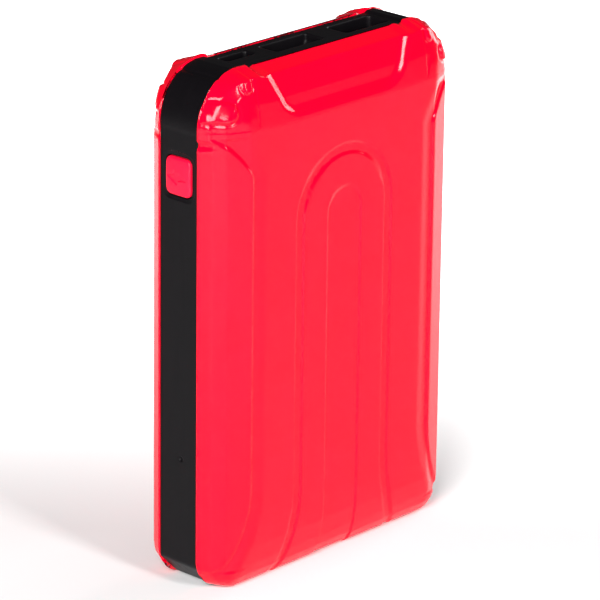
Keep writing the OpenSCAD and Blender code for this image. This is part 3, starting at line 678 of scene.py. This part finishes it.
class BandSkin(Skin):
    """The band's skin, made in stretches that run clockwise round the outline."""

    def section(self, path, inward):
        """Carries the cross-section along a path: outer face, rounded edges, sides and inner face."""
        face = np.linspace(-FLAT_Y, FLAT_Y, BAND_LINES + 1)[1:-1]
        depth = np.concatenate([EDGE_DEPTH[::-1], np.zeros(len(face)), EDGE_DEPTH,
                                [BAND_WALL * 0.5, BAND_WALL], np.full(5, BAND_WALL),
                                [BAND_WALL, BAND_WALL * 0.5]])
        place = np.concatenate([-EDGE_Y[::-1], face, EDGE_Y, [RIM_Y, RIM_Y],
                                np.linspace(RIM_Y, -RIM_Y, 7)[1:-1], [-RIM_Y, -RIM_Y]])
        x = path[:, None, 0] + inward[:, None, 0] * depth[None, :]
        z = path[:, None, 1] + inward[:, None, 1] * depth[None, :]
        pts = np.stack([x, np.broadcast_to(place, x.shape), z], axis=-1)
        rho = np.hypot(pts[..., 1] - DIMPLE_Y, pts[..., 2] - DIMPLE_Z)
        outer_left = pts[..., 0] < 0.01 - BAND_X
        pts[..., 0] += DIMPLE_DEPTH * inside(rho, DIMPLE_R, DIMPLE_EDGE) * outer_left
        self.quads.append(grid_faces(self.add(pts), wrap=True))

    def straight(self, start, end, step, inward):
        """Carries the cross-section along a straight stretch."""
        path = line(start, end, step)
        self.section(path, np.tile(inward, (len(path), 1)))

    def opening(self, start, end, inward, cut):
        """Carries rings round an opening in the flat stretch from start to end, then closes its edges."""
        start, end, inward = (np.array(v, float) for v in (start, end, inward))
        run = np.hypot(*(end - start))
        along = (end - start) / run
        n = max(OPENING_FEWEST, int(round(run / OPENING_STEP)))
        loop = square_loop(np.linspace(-1.0, 1.0, n + 1), np.linspace(-1.0, 1.0, BAND_LINES + 1))
        square = loop * np.array([0.5 * run, FLAT_Y])
        rings = []
        for flat, deep in cut.rings(loop, square):
            place = 0.5 * (start + end) + flat[:, :1] * along + inward * deep
            rings.append(np.stack([place[:, 0], flat[:, 1], place[:, 1]], axis=-1))
        self.quads.append(grid_faces(self.add(np.stack(rings)), wrap=True)[:, ::-1])
        # a step just over the rings' spacing, so that both have the same points
        base = line(start, end, run / n * 1.0001)
        depth = np.concatenate([EDGE_DEPTH, [BAND_WALL * 0.5, BAND_WALL, BAND_WALL]])
        for sign in (-1, 1):
            place = sign * np.concatenate([EDGE_Y, [RIM_Y, RIM_Y, FLAT_Y]])
            x = base[:, None, 0] + inward[0] * depth
            z = base[:, None, 1] + inward[1] * depth
            faces = grid_faces(self.add(np.stack([x, np.broadcast_to(place, x.shape), z], axis=-1)))
            self.quads.append(faces if sign > 0 else faces[:, ::-1])


def band_skin(name, material):
    """The band as a closed ring with tunnels for the sockets and the button.

    A plain stretch of the outline carries a cross-section. A stretch with an opening carries rings from
    its rectangle to the opening's lip, through the wall and back to the rectangle on the inner face.
    """
    skin = BandSkin()
    down, up, left, right = (0.0, -1.0), (0.0, 1.0), (-1.0, 0.0), (1.0, 0.0)
    # top, from left to right
    at = TOP_CUTS[0][1]
    for cut, lo, hi in TOP_CUTS:
        if lo > at:
            skin.straight((at, BAND_TOP), (lo, BAND_TOP), TOP_STEP, down)
        skin.opening((lo, BAND_TOP), (hi, BAND_TOP), down, cut)
        at = hi
    # top corners, right then left
    path = corner_path(1, TOP_CUTS[-1][2])
    skin.section(path, inward_along(path, down, left))
    path = corner_path(-1, -TOP_CUTS[0][1])
    skin.section(path[::-1] * MIRROR, inward_along(path, down, left)[::-1] * MIRROR)
    side_top = path[-1, 1]
    # foot corners, the right side and the foot
    path = foot_path()
    inward = inward_along(path, left, up)
    skin.section(path, inward)
    skin.section(path[::-1] * MIRROR, inward[::-1] * MIRROR)
    skin.straight((BAND_X, side_top), (BAND_X, BAND_LOW + FOOT_END), LONG_STEP, left)
    skin.straight((BAND_X - FOOT_END, BAND_LOW), (FOOT_END - BAND_X, BAND_LOW), LONG_STEP, up)
    # left side, from the foot up
    at = BAND_LOW + FOOT_END
    for stop, step in ((DIMPLE_Z - DIMPLE_ROOM, LONG_STEP), (DIMPLE_Z + DIMPLE_ROOM, DIMPLE_STEP),
                       (WELL_LO, LONG_STEP)):
        skin.straight((-BAND_X, at), (-BAND_X, stop), step, right)
        at = stop
    skin.opening((-BAND_X, WELL_LO), (-BAND_X, WELL_HI), right, WELL_CUT)
    skin.straight((-BAND_X, WELL_HI), (-BAND_X, side_top), UPPER_STEP, right)
    return skin.build(name, material)


# ---- button (mm) -------------------------------------------------------------------------------

CAP_HALF_Y, CAP_HALF_Z, CAP_R, CAP_EDGE, CAP_CROWN = 3.8, 4.4, 1.5, 0.6, 0.22
CAP_LINES, CAP_RINGS, CAP_WALL_AT = 56, 64, 1.2
# the flange behind the band's wall: place, thickness and lap; then the stem's half width
FLANGE_X, FLANGE_T, FLANGE_LAP, STEM_HALF = -37.4, 1.0, 0.7, 1.5
BOLT = [(3.1, -0.1), (0.2, -1.9), (-0.1, -0.9), (-2.6, -0.6), (1.1, 1.5), (1.2, 0.35)]
BOLT_EDGE = (0.09, 0.18)


def polygon_distance(px, py, corners):
    """Signed distance to a polygon, negative inside: the nearest edge, signed by the crossing count."""
    best = np.full(px.shape, 1e9)
    within = np.zeros(px.shape, bool)
    for (ax, ay), (bx, by) in zip(corners, corners[1:] + corners[:1]):
        ex, ey = bx - ax, by - ay
        t = np.clip(((px - ax) * ex + (py - ay) * ey) / (ex * ex + ey * ey), 0.0, 1.0)
        best = np.minimum(best, np.hypot(px - ax - t * ex, py - ay - t * ey))
        crosses = ((ay > py) != (by > py)) & (px < ax + (py - ay) * ex / (ey if ey else 1e-9))
        within ^= crosses
    return np.where(within, -best, best)


def cap_ring(depth, flat):
    """A ring of the cap at a depth along X."""
    return np.stack([np.full(len(flat), depth), flat[:, 0], flat[:, 1]], -1)


def face_rings(loop, face_x, bolt_depth):
    """The cap's face: rings that grow from the middle, crowned by the square of the distance.

    The bolt sign is pressed in.
    """
    for t in np.linspace(0.02, 1.0, CAP_RINGS):
        ry, rz = (CAP_HALF_Y - CAP_EDGE) * t, (CAP_HALF_Z - CAP_EDGE) * t
        radius = min(CAP_R - CAP_EDGE, 0.9 * min(ry, rz)) if t > 0.3 else 0.7 * min(ry, rz)
        flat = rounded_outline(loop, ry, rz, radius)
        crown = CAP_CROWN * ((flat[:, 0] / CAP_HALF_Y) ** 2 + (flat[:, 1] / CAP_HALF_Z) ** 2)
        press = bolt_depth * inside(polygon_distance(flat[:, 0], flat[:, 1], BOLT), *BOLT_EDGE)
        yield cap_ring(face_x + crown + press, flat)


def button_skin(name, material, relief):
    """The button as one closed loft of rounded rectangles: face, rounded edge, wall, flange and stem."""
    face_x, back_x = CAP_LO[0] / MM, CAP_HI[0] / MM
    bolt_depth = relief.bolt_depth / MM
    side = np.linspace(-1.0, 1.0, CAP_LINES + 1)
    loop = square_loop(side, side)
    rings = list(face_rings(loop, face_x, bolt_depth))
    edge_x = rings[-1][:, 0]
    for a in np.radians([18, 36, 54, 72, 90]):
        grow = CAP_EDGE * (math.sin(a) - 1.0)
        flat = rounded_outline(loop, CAP_HALF_Y + grow, CAP_HALF_Z + grow, CAP_R + grow)
        rings.append(cap_ring(edge_x + CAP_EDGE * (1 - math.cos(a)), flat))
    body = rounded_outline(loop, CAP_HALF_Y, CAP_HALF_Z, CAP_R)
    brim = rounded_outline(loop, CAP_HALF_Y + FLANGE_LAP, CAP_HALF_Z + FLANGE_LAP, CAP_R + FLANGE_LAP)
    stem = rounded_outline(loop, STEM_HALF, STEM_HALF, STEM_HALF - 0.001)
    for depth, flat in ((face_x + CAP_WALL_AT, body), (FLANGE_X, body), (FLANGE_X, brim),
                        (FLANGE_X + FLANGE_T, brim), (FLANGE_X + FLANGE_T, stem), (back_x, stem)):
        rings.append(cap_ring(depth, flat))
    pts = np.stack(rings)
    pts[..., 2] += BUTTON_Z
    skin = Skin()
    index = skin.add(pts)
    skin.quads.append(grid_faces(index, wrap=True))
    front = skin.add(np.array([[face_x + bolt_depth, 0.0, BUTTON_Z]]))
    back = skin.add(np.array([[back_x, 0.0, BUTTON_Z]]))
    skin.tris.append(fan_faces(index[0], front[0])[:, ::-1])
    skin.tris.append(fan_faces(index[-1], back[0]))
    return skin.build(name, material)


# ---- shader words ------------------------------------------------------------------------------

class Wire:
    """A socket of a material; arithmetic on it adds Math nodes."""

    def __init__(self, tree, socket):
        self.tree, self.socket = tree, socket

    def math(self, operation, other):
        return add_node(self.tree, "ShaderNodeMath", {"operation": operation}, {0: self, 1: other})

    def __add__(self, other):
        return self.math("ADD", other)

    __radd__ = __add__

    def __mul__(self, other):
        return self.math("MULTIPLY", other)

    __rmul__ = __mul__


def add_node(tree, kind, settings, sockets, output=0):
    """Adds any node: first its settings, such as a ramp's stops, then its sockets' values or links."""
    node = tree.nodes.new(kind)
    for key, value in settings.items():
        if key == "stops":
            ramp = node.color_ramp
            while len(ramp.elements) < len(value):
                ramp.elements.new(0.5)
            for element, (place, tone) in zip(ramp.elements, value):
                element.position = place
                element.color = (tone, tone, tone, 1.0)
        else:
            setattr(node, key, value)
    for key, value in sockets.items():
        if isinstance(value, Wire):
            tree.links.new(value.socket, node.inputs[key])
        else:
            node.inputs[key].default_value = value
    return Wire(tree, node.outputs[output])


class Finish:
    """A material under construction: its tree, its object coordinates and the words that it is built from."""

    def __init__(self, name):
        self.material = bpy.data.materials.new(name)
        self.material.use_nodes = True
        self.tree = self.material.node_tree
        self.shader = self.tree.nodes["Principled BSDF"]
        self.place = self.add("ShaderNodeTexCoord", {}, {}, 3)

    def add(self, kind, settings, sockets, output=0):
        return add_node(self.tree, kind, settings, sockets, output)

    def noise(self, scale, detail=3.0, roughness=0.5, stretch=None):
        """Noise with its scale in features per metre, stretched along the axes if asked."""
        place = self.place
        if stretch is not None:
            place = self.add("ShaderNodeMapping", {}, {"Vector": place, "Scale": stretch})
        return self.add("ShaderNodeTexNoise", {}, {"Vector": place, "Scale": scale, "Detail": detail,
                                                   "Roughness": roughness})

    def ramp(self, wire, stops):
        return self.add("ShaderNodeValToRGB", {"stops": stops}, {0: wire})

    def mix(self, factor, a, b):
        return self.add("ShaderNodeMix", {"data_type": "RGBA"}, {0: factor, 6: a, 7: b}, 2)

    def bump(self, height, strength, distance):
        return self.add("ShaderNodeBump", {}, {"Height": height, "Strength": strength, "Distance": distance})

    def set(self, **sockets):
        """Sets or links the shader's sockets; underscores stand for spaces."""
        for key, value in sockets.items():
            socket = self.shader.inputs[key.replace("_", " ")]
            if isinstance(value, Wire):
                self.tree.links.new(value.socket, socket)
            else:
                socket.default_value = value
        return self.material


def rgba(tone):
    """A colour with full alpha."""
    return (tone[0], tone[1], tone[2], 1.0)


def scaled(tone, k):
    """A colour made lighter or darker, held at 1, with full alpha."""
    return (min(tone[0] * k, 1.0), min(tone[1] * k, 1.0), min(tone[2] * k, 1.0), 1.0)


def gloss_red(tone):
    """High-gloss moulded red: a faint cloudiness, a very fine orange peel and the odd speck of dust."""
    f = Finish("gloss_cover_red")
    cloud = f.noise(90.0, 4.0, 0.55)
    peel = f.noise(900.0, 2.0, 0.5)
    grain = f.noise(5200.0, 2.0, 0.6)
    smear = f.noise(160.0, 5.0, 0.62, (1.0, 1.0, 0.35))
    dust = f.add("ShaderNodeTexVoronoi", {"feature": "F1"}, {"Vector": f.place, "Scale": 210.0})
    speck = f.ramp(dust, [(0.0, 1.0), (0.035, 0.0)])
    rough = 0.07 + 0.05 * f.ramp(smear, [(0.42, 0.0), (0.7, 1.0)]) + 0.25 * speck
    height = peel * 0.6 + grain * 0.06 + speck * 0.5
    cloudy = f.ramp(cloud, [(0.35, 0.0), (0.65, 1.0)])
    return f.set(Base_Color=f.mix(cloudy, scaled(tone, 0.95), scaled(tone, 1.04)), Roughness=rough,
                 Normal=f.bump(height, 0.12, 0.00004), IOR=1.5, Specular_IOR_Level=0.2)


def satin_black(tone):
    """Satin moulded black: spark-eroded grain, slightly polished patches and faint handling marks."""
    f = Finish("satin_band_black")
    grain = f.noise(3600.0, 3.0, 0.6)
    patch = f.noise(70.0, 4.0, 0.6)
    hair = f.noise(900.0, 2.0, 0.5, (0.2, 1.0, 0.05))
    rough = 0.36 + 0.1 * patch + 0.08 * f.ramp(hair, [(0.5, 0.0), (0.75, 1.0)])
    patchy = f.ramp(patch, [(0.3, 0.0), (0.7, 1.0)])
    return f.set(Base_Color=f.mix(patchy, scaled(tone, 0.85), scaled(tone, 1.25)), Roughness=rough,
                 Normal=f.bump(grain, 0.25, 0.00003), IOR=1.5, Specular_IOR_Level=0.13)


def button_red(tone):
    """Smooth moulded red for the button: a faint cloudiness and a fine grain."""
    f = Finish("button_cap_red")
    cloud = f.noise(260.0, 3.0, 0.5)
    grain = f.noise(4200.0, 2.0, 0.5)
    return f.set(Base_Color=f.mix(cloud, scaled(tone, 0.94), scaled(tone, 1.05)),
                 Roughness=0.16 + 0.08 * cloud, Normal=f.bump(grain, 0.15, 0.00002), IOR=1.5,
                 Specular_IOR_Level=0.2)


def moulded(name, tone, rough, grain_scale=2600.0, strength=0.3):
    """A moulded plastic with its own grain, tone and sheen."""
    f = Finish(name)
    patch = f.noise(140.0, 4.0, 0.6)
    grain = f.noise(grain_scale, 3.0, 0.6)
    return f.set(Base_Color=f.mix(patch, scaled(tone, 0.82), scaled(tone, 1.2)),
                 Roughness=rough + 0.12 * patch, Normal=f.bump(grain, strength, 0.00003), IOR=1.48)


def metal(name, tone, rough, brush, tarnish=0.12):
    """A plated or drawn metal: brushed along one axis, with faint tarnish."""
    f = Finish(name)
    line = f.noise(1800.0, 3.0, 0.6, brush)
    stain = f.noise(180.0, 5.0, 0.6)
    shade = f.ramp(stain, [(0.35, 0.0), (0.75, 1.0)])
    return f.set(Base_Color=f.mix(shade * tarnish * 4.0, rgba(tone), scaled(tone, 0.62)), Metallic=1.0,
                 Roughness=rough + 0.16 * line + 0.1 * shade, Normal=f.bump(line, 0.25, 0.00002))


def solder_mask(tone):
    """Green solder mask over a glass weave, with copper traces showing as a raised pattern."""
    f = Finish("board_solder_mask")
    weave = f.add("ShaderNodeTexWave", {"wave_type": "BANDS", "bands_direction": "X"},
                  {"Vector": f.place, "Scale": 320.0, "Distortion": 1.0})
    cross = f.add("ShaderNodeTexWave", {"wave_type": "BANDS", "bands_direction": "Z"},
                  {"Vector": f.place, "Scale": 320.0, "Distortion": 1.0})
    trace = f.add("ShaderNodeTexBrick", {}, {"Vector": f.place, "Scale": 260.0, "Mortar Size": 0.03}, 1)
    cloth = weave * cross
    return f.set(Base_Color=f.mix(trace, scaled(tone, 0.9), scaled(tone, 1.9)), Roughness=0.3 + 0.12 * cloth,
                 Normal=f.bump(cloth * 0.3 + trace, 0.3, 0.00003), IOR=1.5)


def foil_pouch(tone):
    """Laminated foil: soft dents, a fairly matt surface and slight wrinkles."""
    f = Finish("cell_foil_pouch")
    dent = f.noise(60.0, 3.0, 0.5)
    wrinkle = f.noise(420.0, 4.0, 0.65, (1.0, 1.0, 0.2))
    return f.set(Base_Color=f.mix(dent, scaled(tone, 0.86), scaled(tone, 1.08)), Metallic=0.85,
                 Roughness=0.38 + 0.14 * wrinkle, Normal=f.bump(dent + wrinkle * 0.4, 0.4, 0.0002))


def insulating_paper(tone):
    """Insulating paper: fibres along the sheet and a faint waxy mottling."""
    f = Finish("insulating_paper")
    fibre = f.noise(2200.0, 4.0, 0.7, (0.15, 1.0, 1.0))
    mottle = f.noise(240.0, 4.0, 0.6)
    return f.set(Base_Color=f.mix(mottle, scaled(tone, 0.85), scaled(tone, 1.12)),
                 Roughness=0.62 + 0.2 * fibre, Normal=f.bump(fibre, 0.4, 0.00005))


def closed_foam(tone):
    """Closed-cell foam: a field of small cells with dark walls."""
    f = Finish("closed_cell_foam")
    cell = f.add("ShaderNodeTexVoronoi", {"feature": "F1"}, {"Vector": f.place, "Scale": 1600.0})
    mottle = f.noise(200.0, 3.0, 0.6)
    return f.set(Base_Color=f.mix(cell, scaled(tone, 0.7), scaled(tone, 1.5)), Roughness=0.82 + 0.12 * mottle,
                 Normal=f.bump(cell, 0.7, 0.0002))


# ---- operators ---------------------------------------------------------------------------------

class PieceOperator:
    """Shared words of the operators: the scene's relief and finish settings."""
    bl_options = {"REGISTER", "UNDO"}

    @property
    def relief(self):
        return bpy.context.scene.jump_pack_relief

    @property
    def finish(self):
        return bpy.context.scene.jump_pack_finish


class JUMPPACK_OT_covers(PieceOperator, bpy.types.Operator):
    """Moulds the front and rear covers with their rails, grooves, panel and corner fingers"""
    bl_idname = "jump_pack.covers"
    bl_label = "Covers"

    def execute(self, context):
        red = gloss_red(self.finish.cover_red)
        for name, node, sign in (("cover_front_shell", "front_cover", -1),
                                 ("cover_rear_shell", "rear_cover", 1)):
            shell = cover_skin(name, sign, self.relief, red)
            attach(shell, "case")
            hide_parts(node)
        return {"FINISHED"}


class JUMPPACK_OT_band(PieceOperator, bpy.types.Operator):
    """Moulds the band between the covers, with its socket openings, button well and dimple"""
    bl_idname = "jump_pack.band"
    bl_label = "Band"

    def execute(self, context):
        band = band_skin("band_ring", satin_black(self.finish.band_black))
        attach(band, "case")
        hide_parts("mid_frame")
        return {"FINISHED"}


class JUMPPACK_OT_button(PieceOperator, bpy.types.Operator):
    """Moulds the push button with its crowned face and pressed bolt sign"""
    bl_idname = "jump_pack.button"
    bl_label = "Button"

    def execute(self, context):
        cap = button_skin("button_cap", button_red(self.finish.button_red), self.relief)
        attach(cap, "button")
        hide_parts("power_button")
        return {"FINISHED"}


class JUMPPACK_OT_insides(PieceOperator, bpy.types.Operator):
    """Gives every socket, board part and cell its own finish"""
    bl_idname = "jump_pack.insides"
    bl_label = "Sockets and insides"

    def execute(self, context):
        along_z, along_x = (1.0, 1.0, 0.06), (0.06, 1.0, 1.0)
        dark = moulded("socket_moulding", (0.012, 0.011, 0.012), 0.42)
        plate = metal("socket_plating", (0.2, 0.2, 0.21), 0.3, along_z)
        gold = metal("contact_gold", (0.5, 0.36, 0.14), 0.24, along_z)
        steel = metal("screw_steel", (0.52, 0.52, 0.54), 0.3, along_x)
        chip = moulded("chip_package", (0.016, 0.016, 0.017), 0.5, 4000.0)
        nickel = metal("link_nickel", (0.62, 0.6, 0.56), 0.26, along_x)
        copper = metal("strap_copper", (0.72, 0.36, 0.2), 0.26, along_z, 0.2)
        foil = foil_pouch((0.62, 0.63, 0.65))
        foam = closed_foam((0.05, 0.05, 0.055))
        finishes = {
            "tact_switch": moulded("switch_moulding", (0.03, 0.03, 0.03), 0.5),
            "switch_plunger": moulded("plunger_moulding", (0.7, 0.7, 0.66), 0.4),
            "main_board": solder_mask((0.012, 0.11, 0.045)),
            "usb_shell": plate, "micro_shell": plate,
            "usb_tongue": dark, "micro_tongue": dark, "jump_housing": dark,
            "usb_contacts": gold, "jump_contacts": gold,
            "inductor": moulded("coil_ferrite", (0.05, 0.05, 0.055), 0.6, 1800.0, 0.6),
            "capacitors": metal("can_aluminium", (0.66, 0.66, 0.68), 0.25, along_z),
            "power_transistors": chip, "control_chip": chip,
            "board_screws": steel, "frame_screws": steel,
            "cell_front": foil, "cell_middle": foil, "cell_rear": foil,
            "tab_insulator": insulating_paper((0.6, 0.47, 0.22)),
            "link_front": nickel, "link_rear": nickel, "sense_strips": nickel,
            "positive_strap": copper, "negative_strap": copper,
            "foam_pad_front": foam, "foam_pad_rear": foam,
        }
        for node, material in finishes.items():
            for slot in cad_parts[node].material_slots:
                slot.material = material
        return {"FINISHED"}


# softboxes: azimuth and elevation (degrees), distance, size across and up (m), power (W), point aimed at (m)
PACK_MIDDLE = (0.0, 0.0, 0.06)
SOFTBOXES = {
    "softbox_right": (88.0, 14.0, 0.9, (0.4, 0.7), 5.0, PACK_MIDDLE),
    "softbox_key": (-62.0, 24.0, 0.8, (0.32, 0.42), 10.5, PACK_MIDDLE),
    "softbox_front": (-6.0, 26.0, 1.1, (0.2, 0.4), 8.0, PACK_MIDDLE),
    "softbox_back": (-47.0, 40.0, 0.5, (0.45, 0.3), 7.0, (0.45, 0.48, 0.0)),
}
WORLD_STRENGTH = 0.06
# floor (m): a hair under the foot, with its lines closer together near the pack
FLOOR_Z, FLOOR_LINES, FLOOR_FAR, FLOOR_NEAR = -0.00005, 41, 3.0, 0.6
# camera: direction and roll (degrees), distance, aim and slide (m), lens and sensor (mm)
CAMERA_AZIMUTH, CAMERA_ELEVATION, CAMERA_ROLL = -47.18, 19.70, 0.70
CAMERA_DISTANCE, CAMERA_AIM = 0.9587, (0.0, 0.0, 0.06803)
SLIDE_RIGHT, SLIDE_UP = -0.000125, -0.0087
LENS, SENSOR = 251.8, 36.0


def placement(x_axis, y_axis, z_axis, origin):
    """A world matrix from three axes and an origin."""
    rows = [[x_axis[i], y_axis[i], z_axis[i], origin[i]] for i in range(3)]
    return Matrix(rows + [[0.0, 0.0, 0.0, 1.0]])


def directions(azimuth, elevation):
    """Unit vectors outwards and to the right at an azimuth and elevation in degrees."""
    a, e = math.radians(azimuth), math.radians(elevation)
    out = np.array([math.sin(a) * math.cos(e), -math.cos(a) * math.cos(e), math.sin(e)])
    return out, np.array([math.cos(a), math.sin(a), 0.0])


def area_light(name, azimuth, elevation, distance, size, power, aim):
    """A rectangular softbox at an azimuth and elevation round the point it is aimed at."""
    out, side = directions(azimuth, elevation)
    data = bpy.data.lights.new(name, "AREA")
    data.shape = "RECTANGLE"
    data.size, data.size_y = size
    data.energy = power
    lamp = bpy.data.objects.new(name, data)
    lamp.matrix_world = placement(side, np.cross(out, side), out, np.array(aim) + out * distance)
    bpy.context.scene.collection.objects.link(lamp)


def studio_floor(white):
    """A flat sheet whose lines lie at 3 t^3 + 0.6 t metres, with a faintly cloudy white finish."""
    t = np.linspace(-1.0, 1.0, FLOOR_LINES)
    places = FLOOR_FAR * t ** 3 + FLOOR_NEAR * t
    x, y = np.meshgrid(places, places)
    skin = Skin()
    index = skin.add(np.stack([x, y, np.full_like(x, FLOOR_Z)], -1) / MM)
    skin.quads.append(grid_faces(index))
    f = Finish("studio_floor")
    tint = f.noise(6.0, 3.0, 0.5)
    matt = f.set(Base_Color=f.mix(tint, scaled(white, 0.99), rgba(white)), Roughness=0.55 + 0.1 * tint,
                 Specular_IOR_Level=0.3)
    return skin.build("studio_floor", matt, merge=0.01)


def studio_camera():
    """The camera: aimed at the pack, rolled a little, then slid sideways and down."""
    roll = math.radians(CAMERA_ROLL)
    back, right = directions(CAMERA_AZIMUTH, CAMERA_ELEVATION)
    up = np.cross(back, right)
    side = math.cos(roll) * right + math.sin(roll) * up
    head = math.cos(roll) * up - math.sin(roll) * right
    place = np.array(CAMERA_AIM) + back * CAMERA_DISTANCE + side * SLIDE_RIGHT + head * SLIDE_UP
    data = bpy.data.cameras.new("camera")
    data.lens, data.sensor_width = LENS, SENSOR
    data.clip_start, data.clip_end = 0.05, 20.0
    camera = bpy.data.objects.new("camera", data)
    camera.matrix_world = placement(side, head, back, place)
    return camera


class JUMPPACK_OT_stage(PieceOperator, bpy.types.Operator):
    """Lays the floor, hangs the softboxes and sets up the camera"""
    bl_idname = "jump_pack.stage"
    bl_label = "Stage"

    def execute(self, context):
        scene = bpy.context.scene
        scene.view_settings.view_transform = "Standard"
        floor = studio_floor(self.finish.floor_white)
        world = bpy.data.worlds.new("studio_world")
        scene.world = world
        world.use_nodes = True
        background = world.node_tree.nodes["Background"]
        background.inputs["Color"].default_value = (1.0, 1.0, 1.0, 1.0)
        background.inputs["Strength"].default_value = WORLD_STRENGTH
        for name, settings in SOFTBOXES.items():
            area_light(name, *settings)
        camera = studio_camera()
        scene.collection.objects.link(camera)
        scene.camera = camera
        return {"FINISHED"}


class JUMPPACK_PT_sidebar(bpy.types.Panel):
    """Lists the pack's operators and settings in the sidebar"""
    bl_label = "Jump starter pack"
    bl_idname = "JUMPPACK_PT_sidebar"
    bl_space_type = "VIEW_3D"
    bl_region_type = "UI"
    bl_category = "Jump Pack"

    def draw(self, context):
        column = self.layout.column(align=True)
        for step in STEPS:
            column.operator(step.bl_idname)
        for group in (context.scene.jump_pack_relief, context.scene.jump_pack_finish):
            for key in group.bl_rna.properties.keys():
                if key not in {"rna_type", "name"}:
                    self.layout.prop(group, key)


STEPS = (JUMPPACK_OT_covers, JUMPPACK_OT_band, JUMPPACK_OT_button, JUMPPACK_OT_insides, JUMPPACK_OT_stage)
CLASSES = (JumpPackRelief, JumpPackFinish, *STEPS, JUMPPACK_PT_sidebar)


def register():
    for item in CLASSES:
        bpy.utils.register_class(item)
    bpy.types.Scene.jump_pack_relief = bpy.props.PointerProperty(type=JumpPackRelief)
    bpy.types.Scene.jump_pack_finish = bpy.props.PointerProperty(type=JumpPackFinish)


def unregister():
    del bpy.types.Scene.jump_pack_finish
    del bpy.types.Scene.jump_pack_relief
    for item in reversed(CLASSES):
        bpy.utils.unregister_class(item)


def main():
    register()
    for step in STEPS:
        group, verb = step.bl_idname.split(".")
        if getattr(getattr(bpy.ops, group), verb)() != {"FINISHED"}:
            raise RuntimeError(step.bl_idname + " did not finish")


if __name__ == "__main__":
    main()
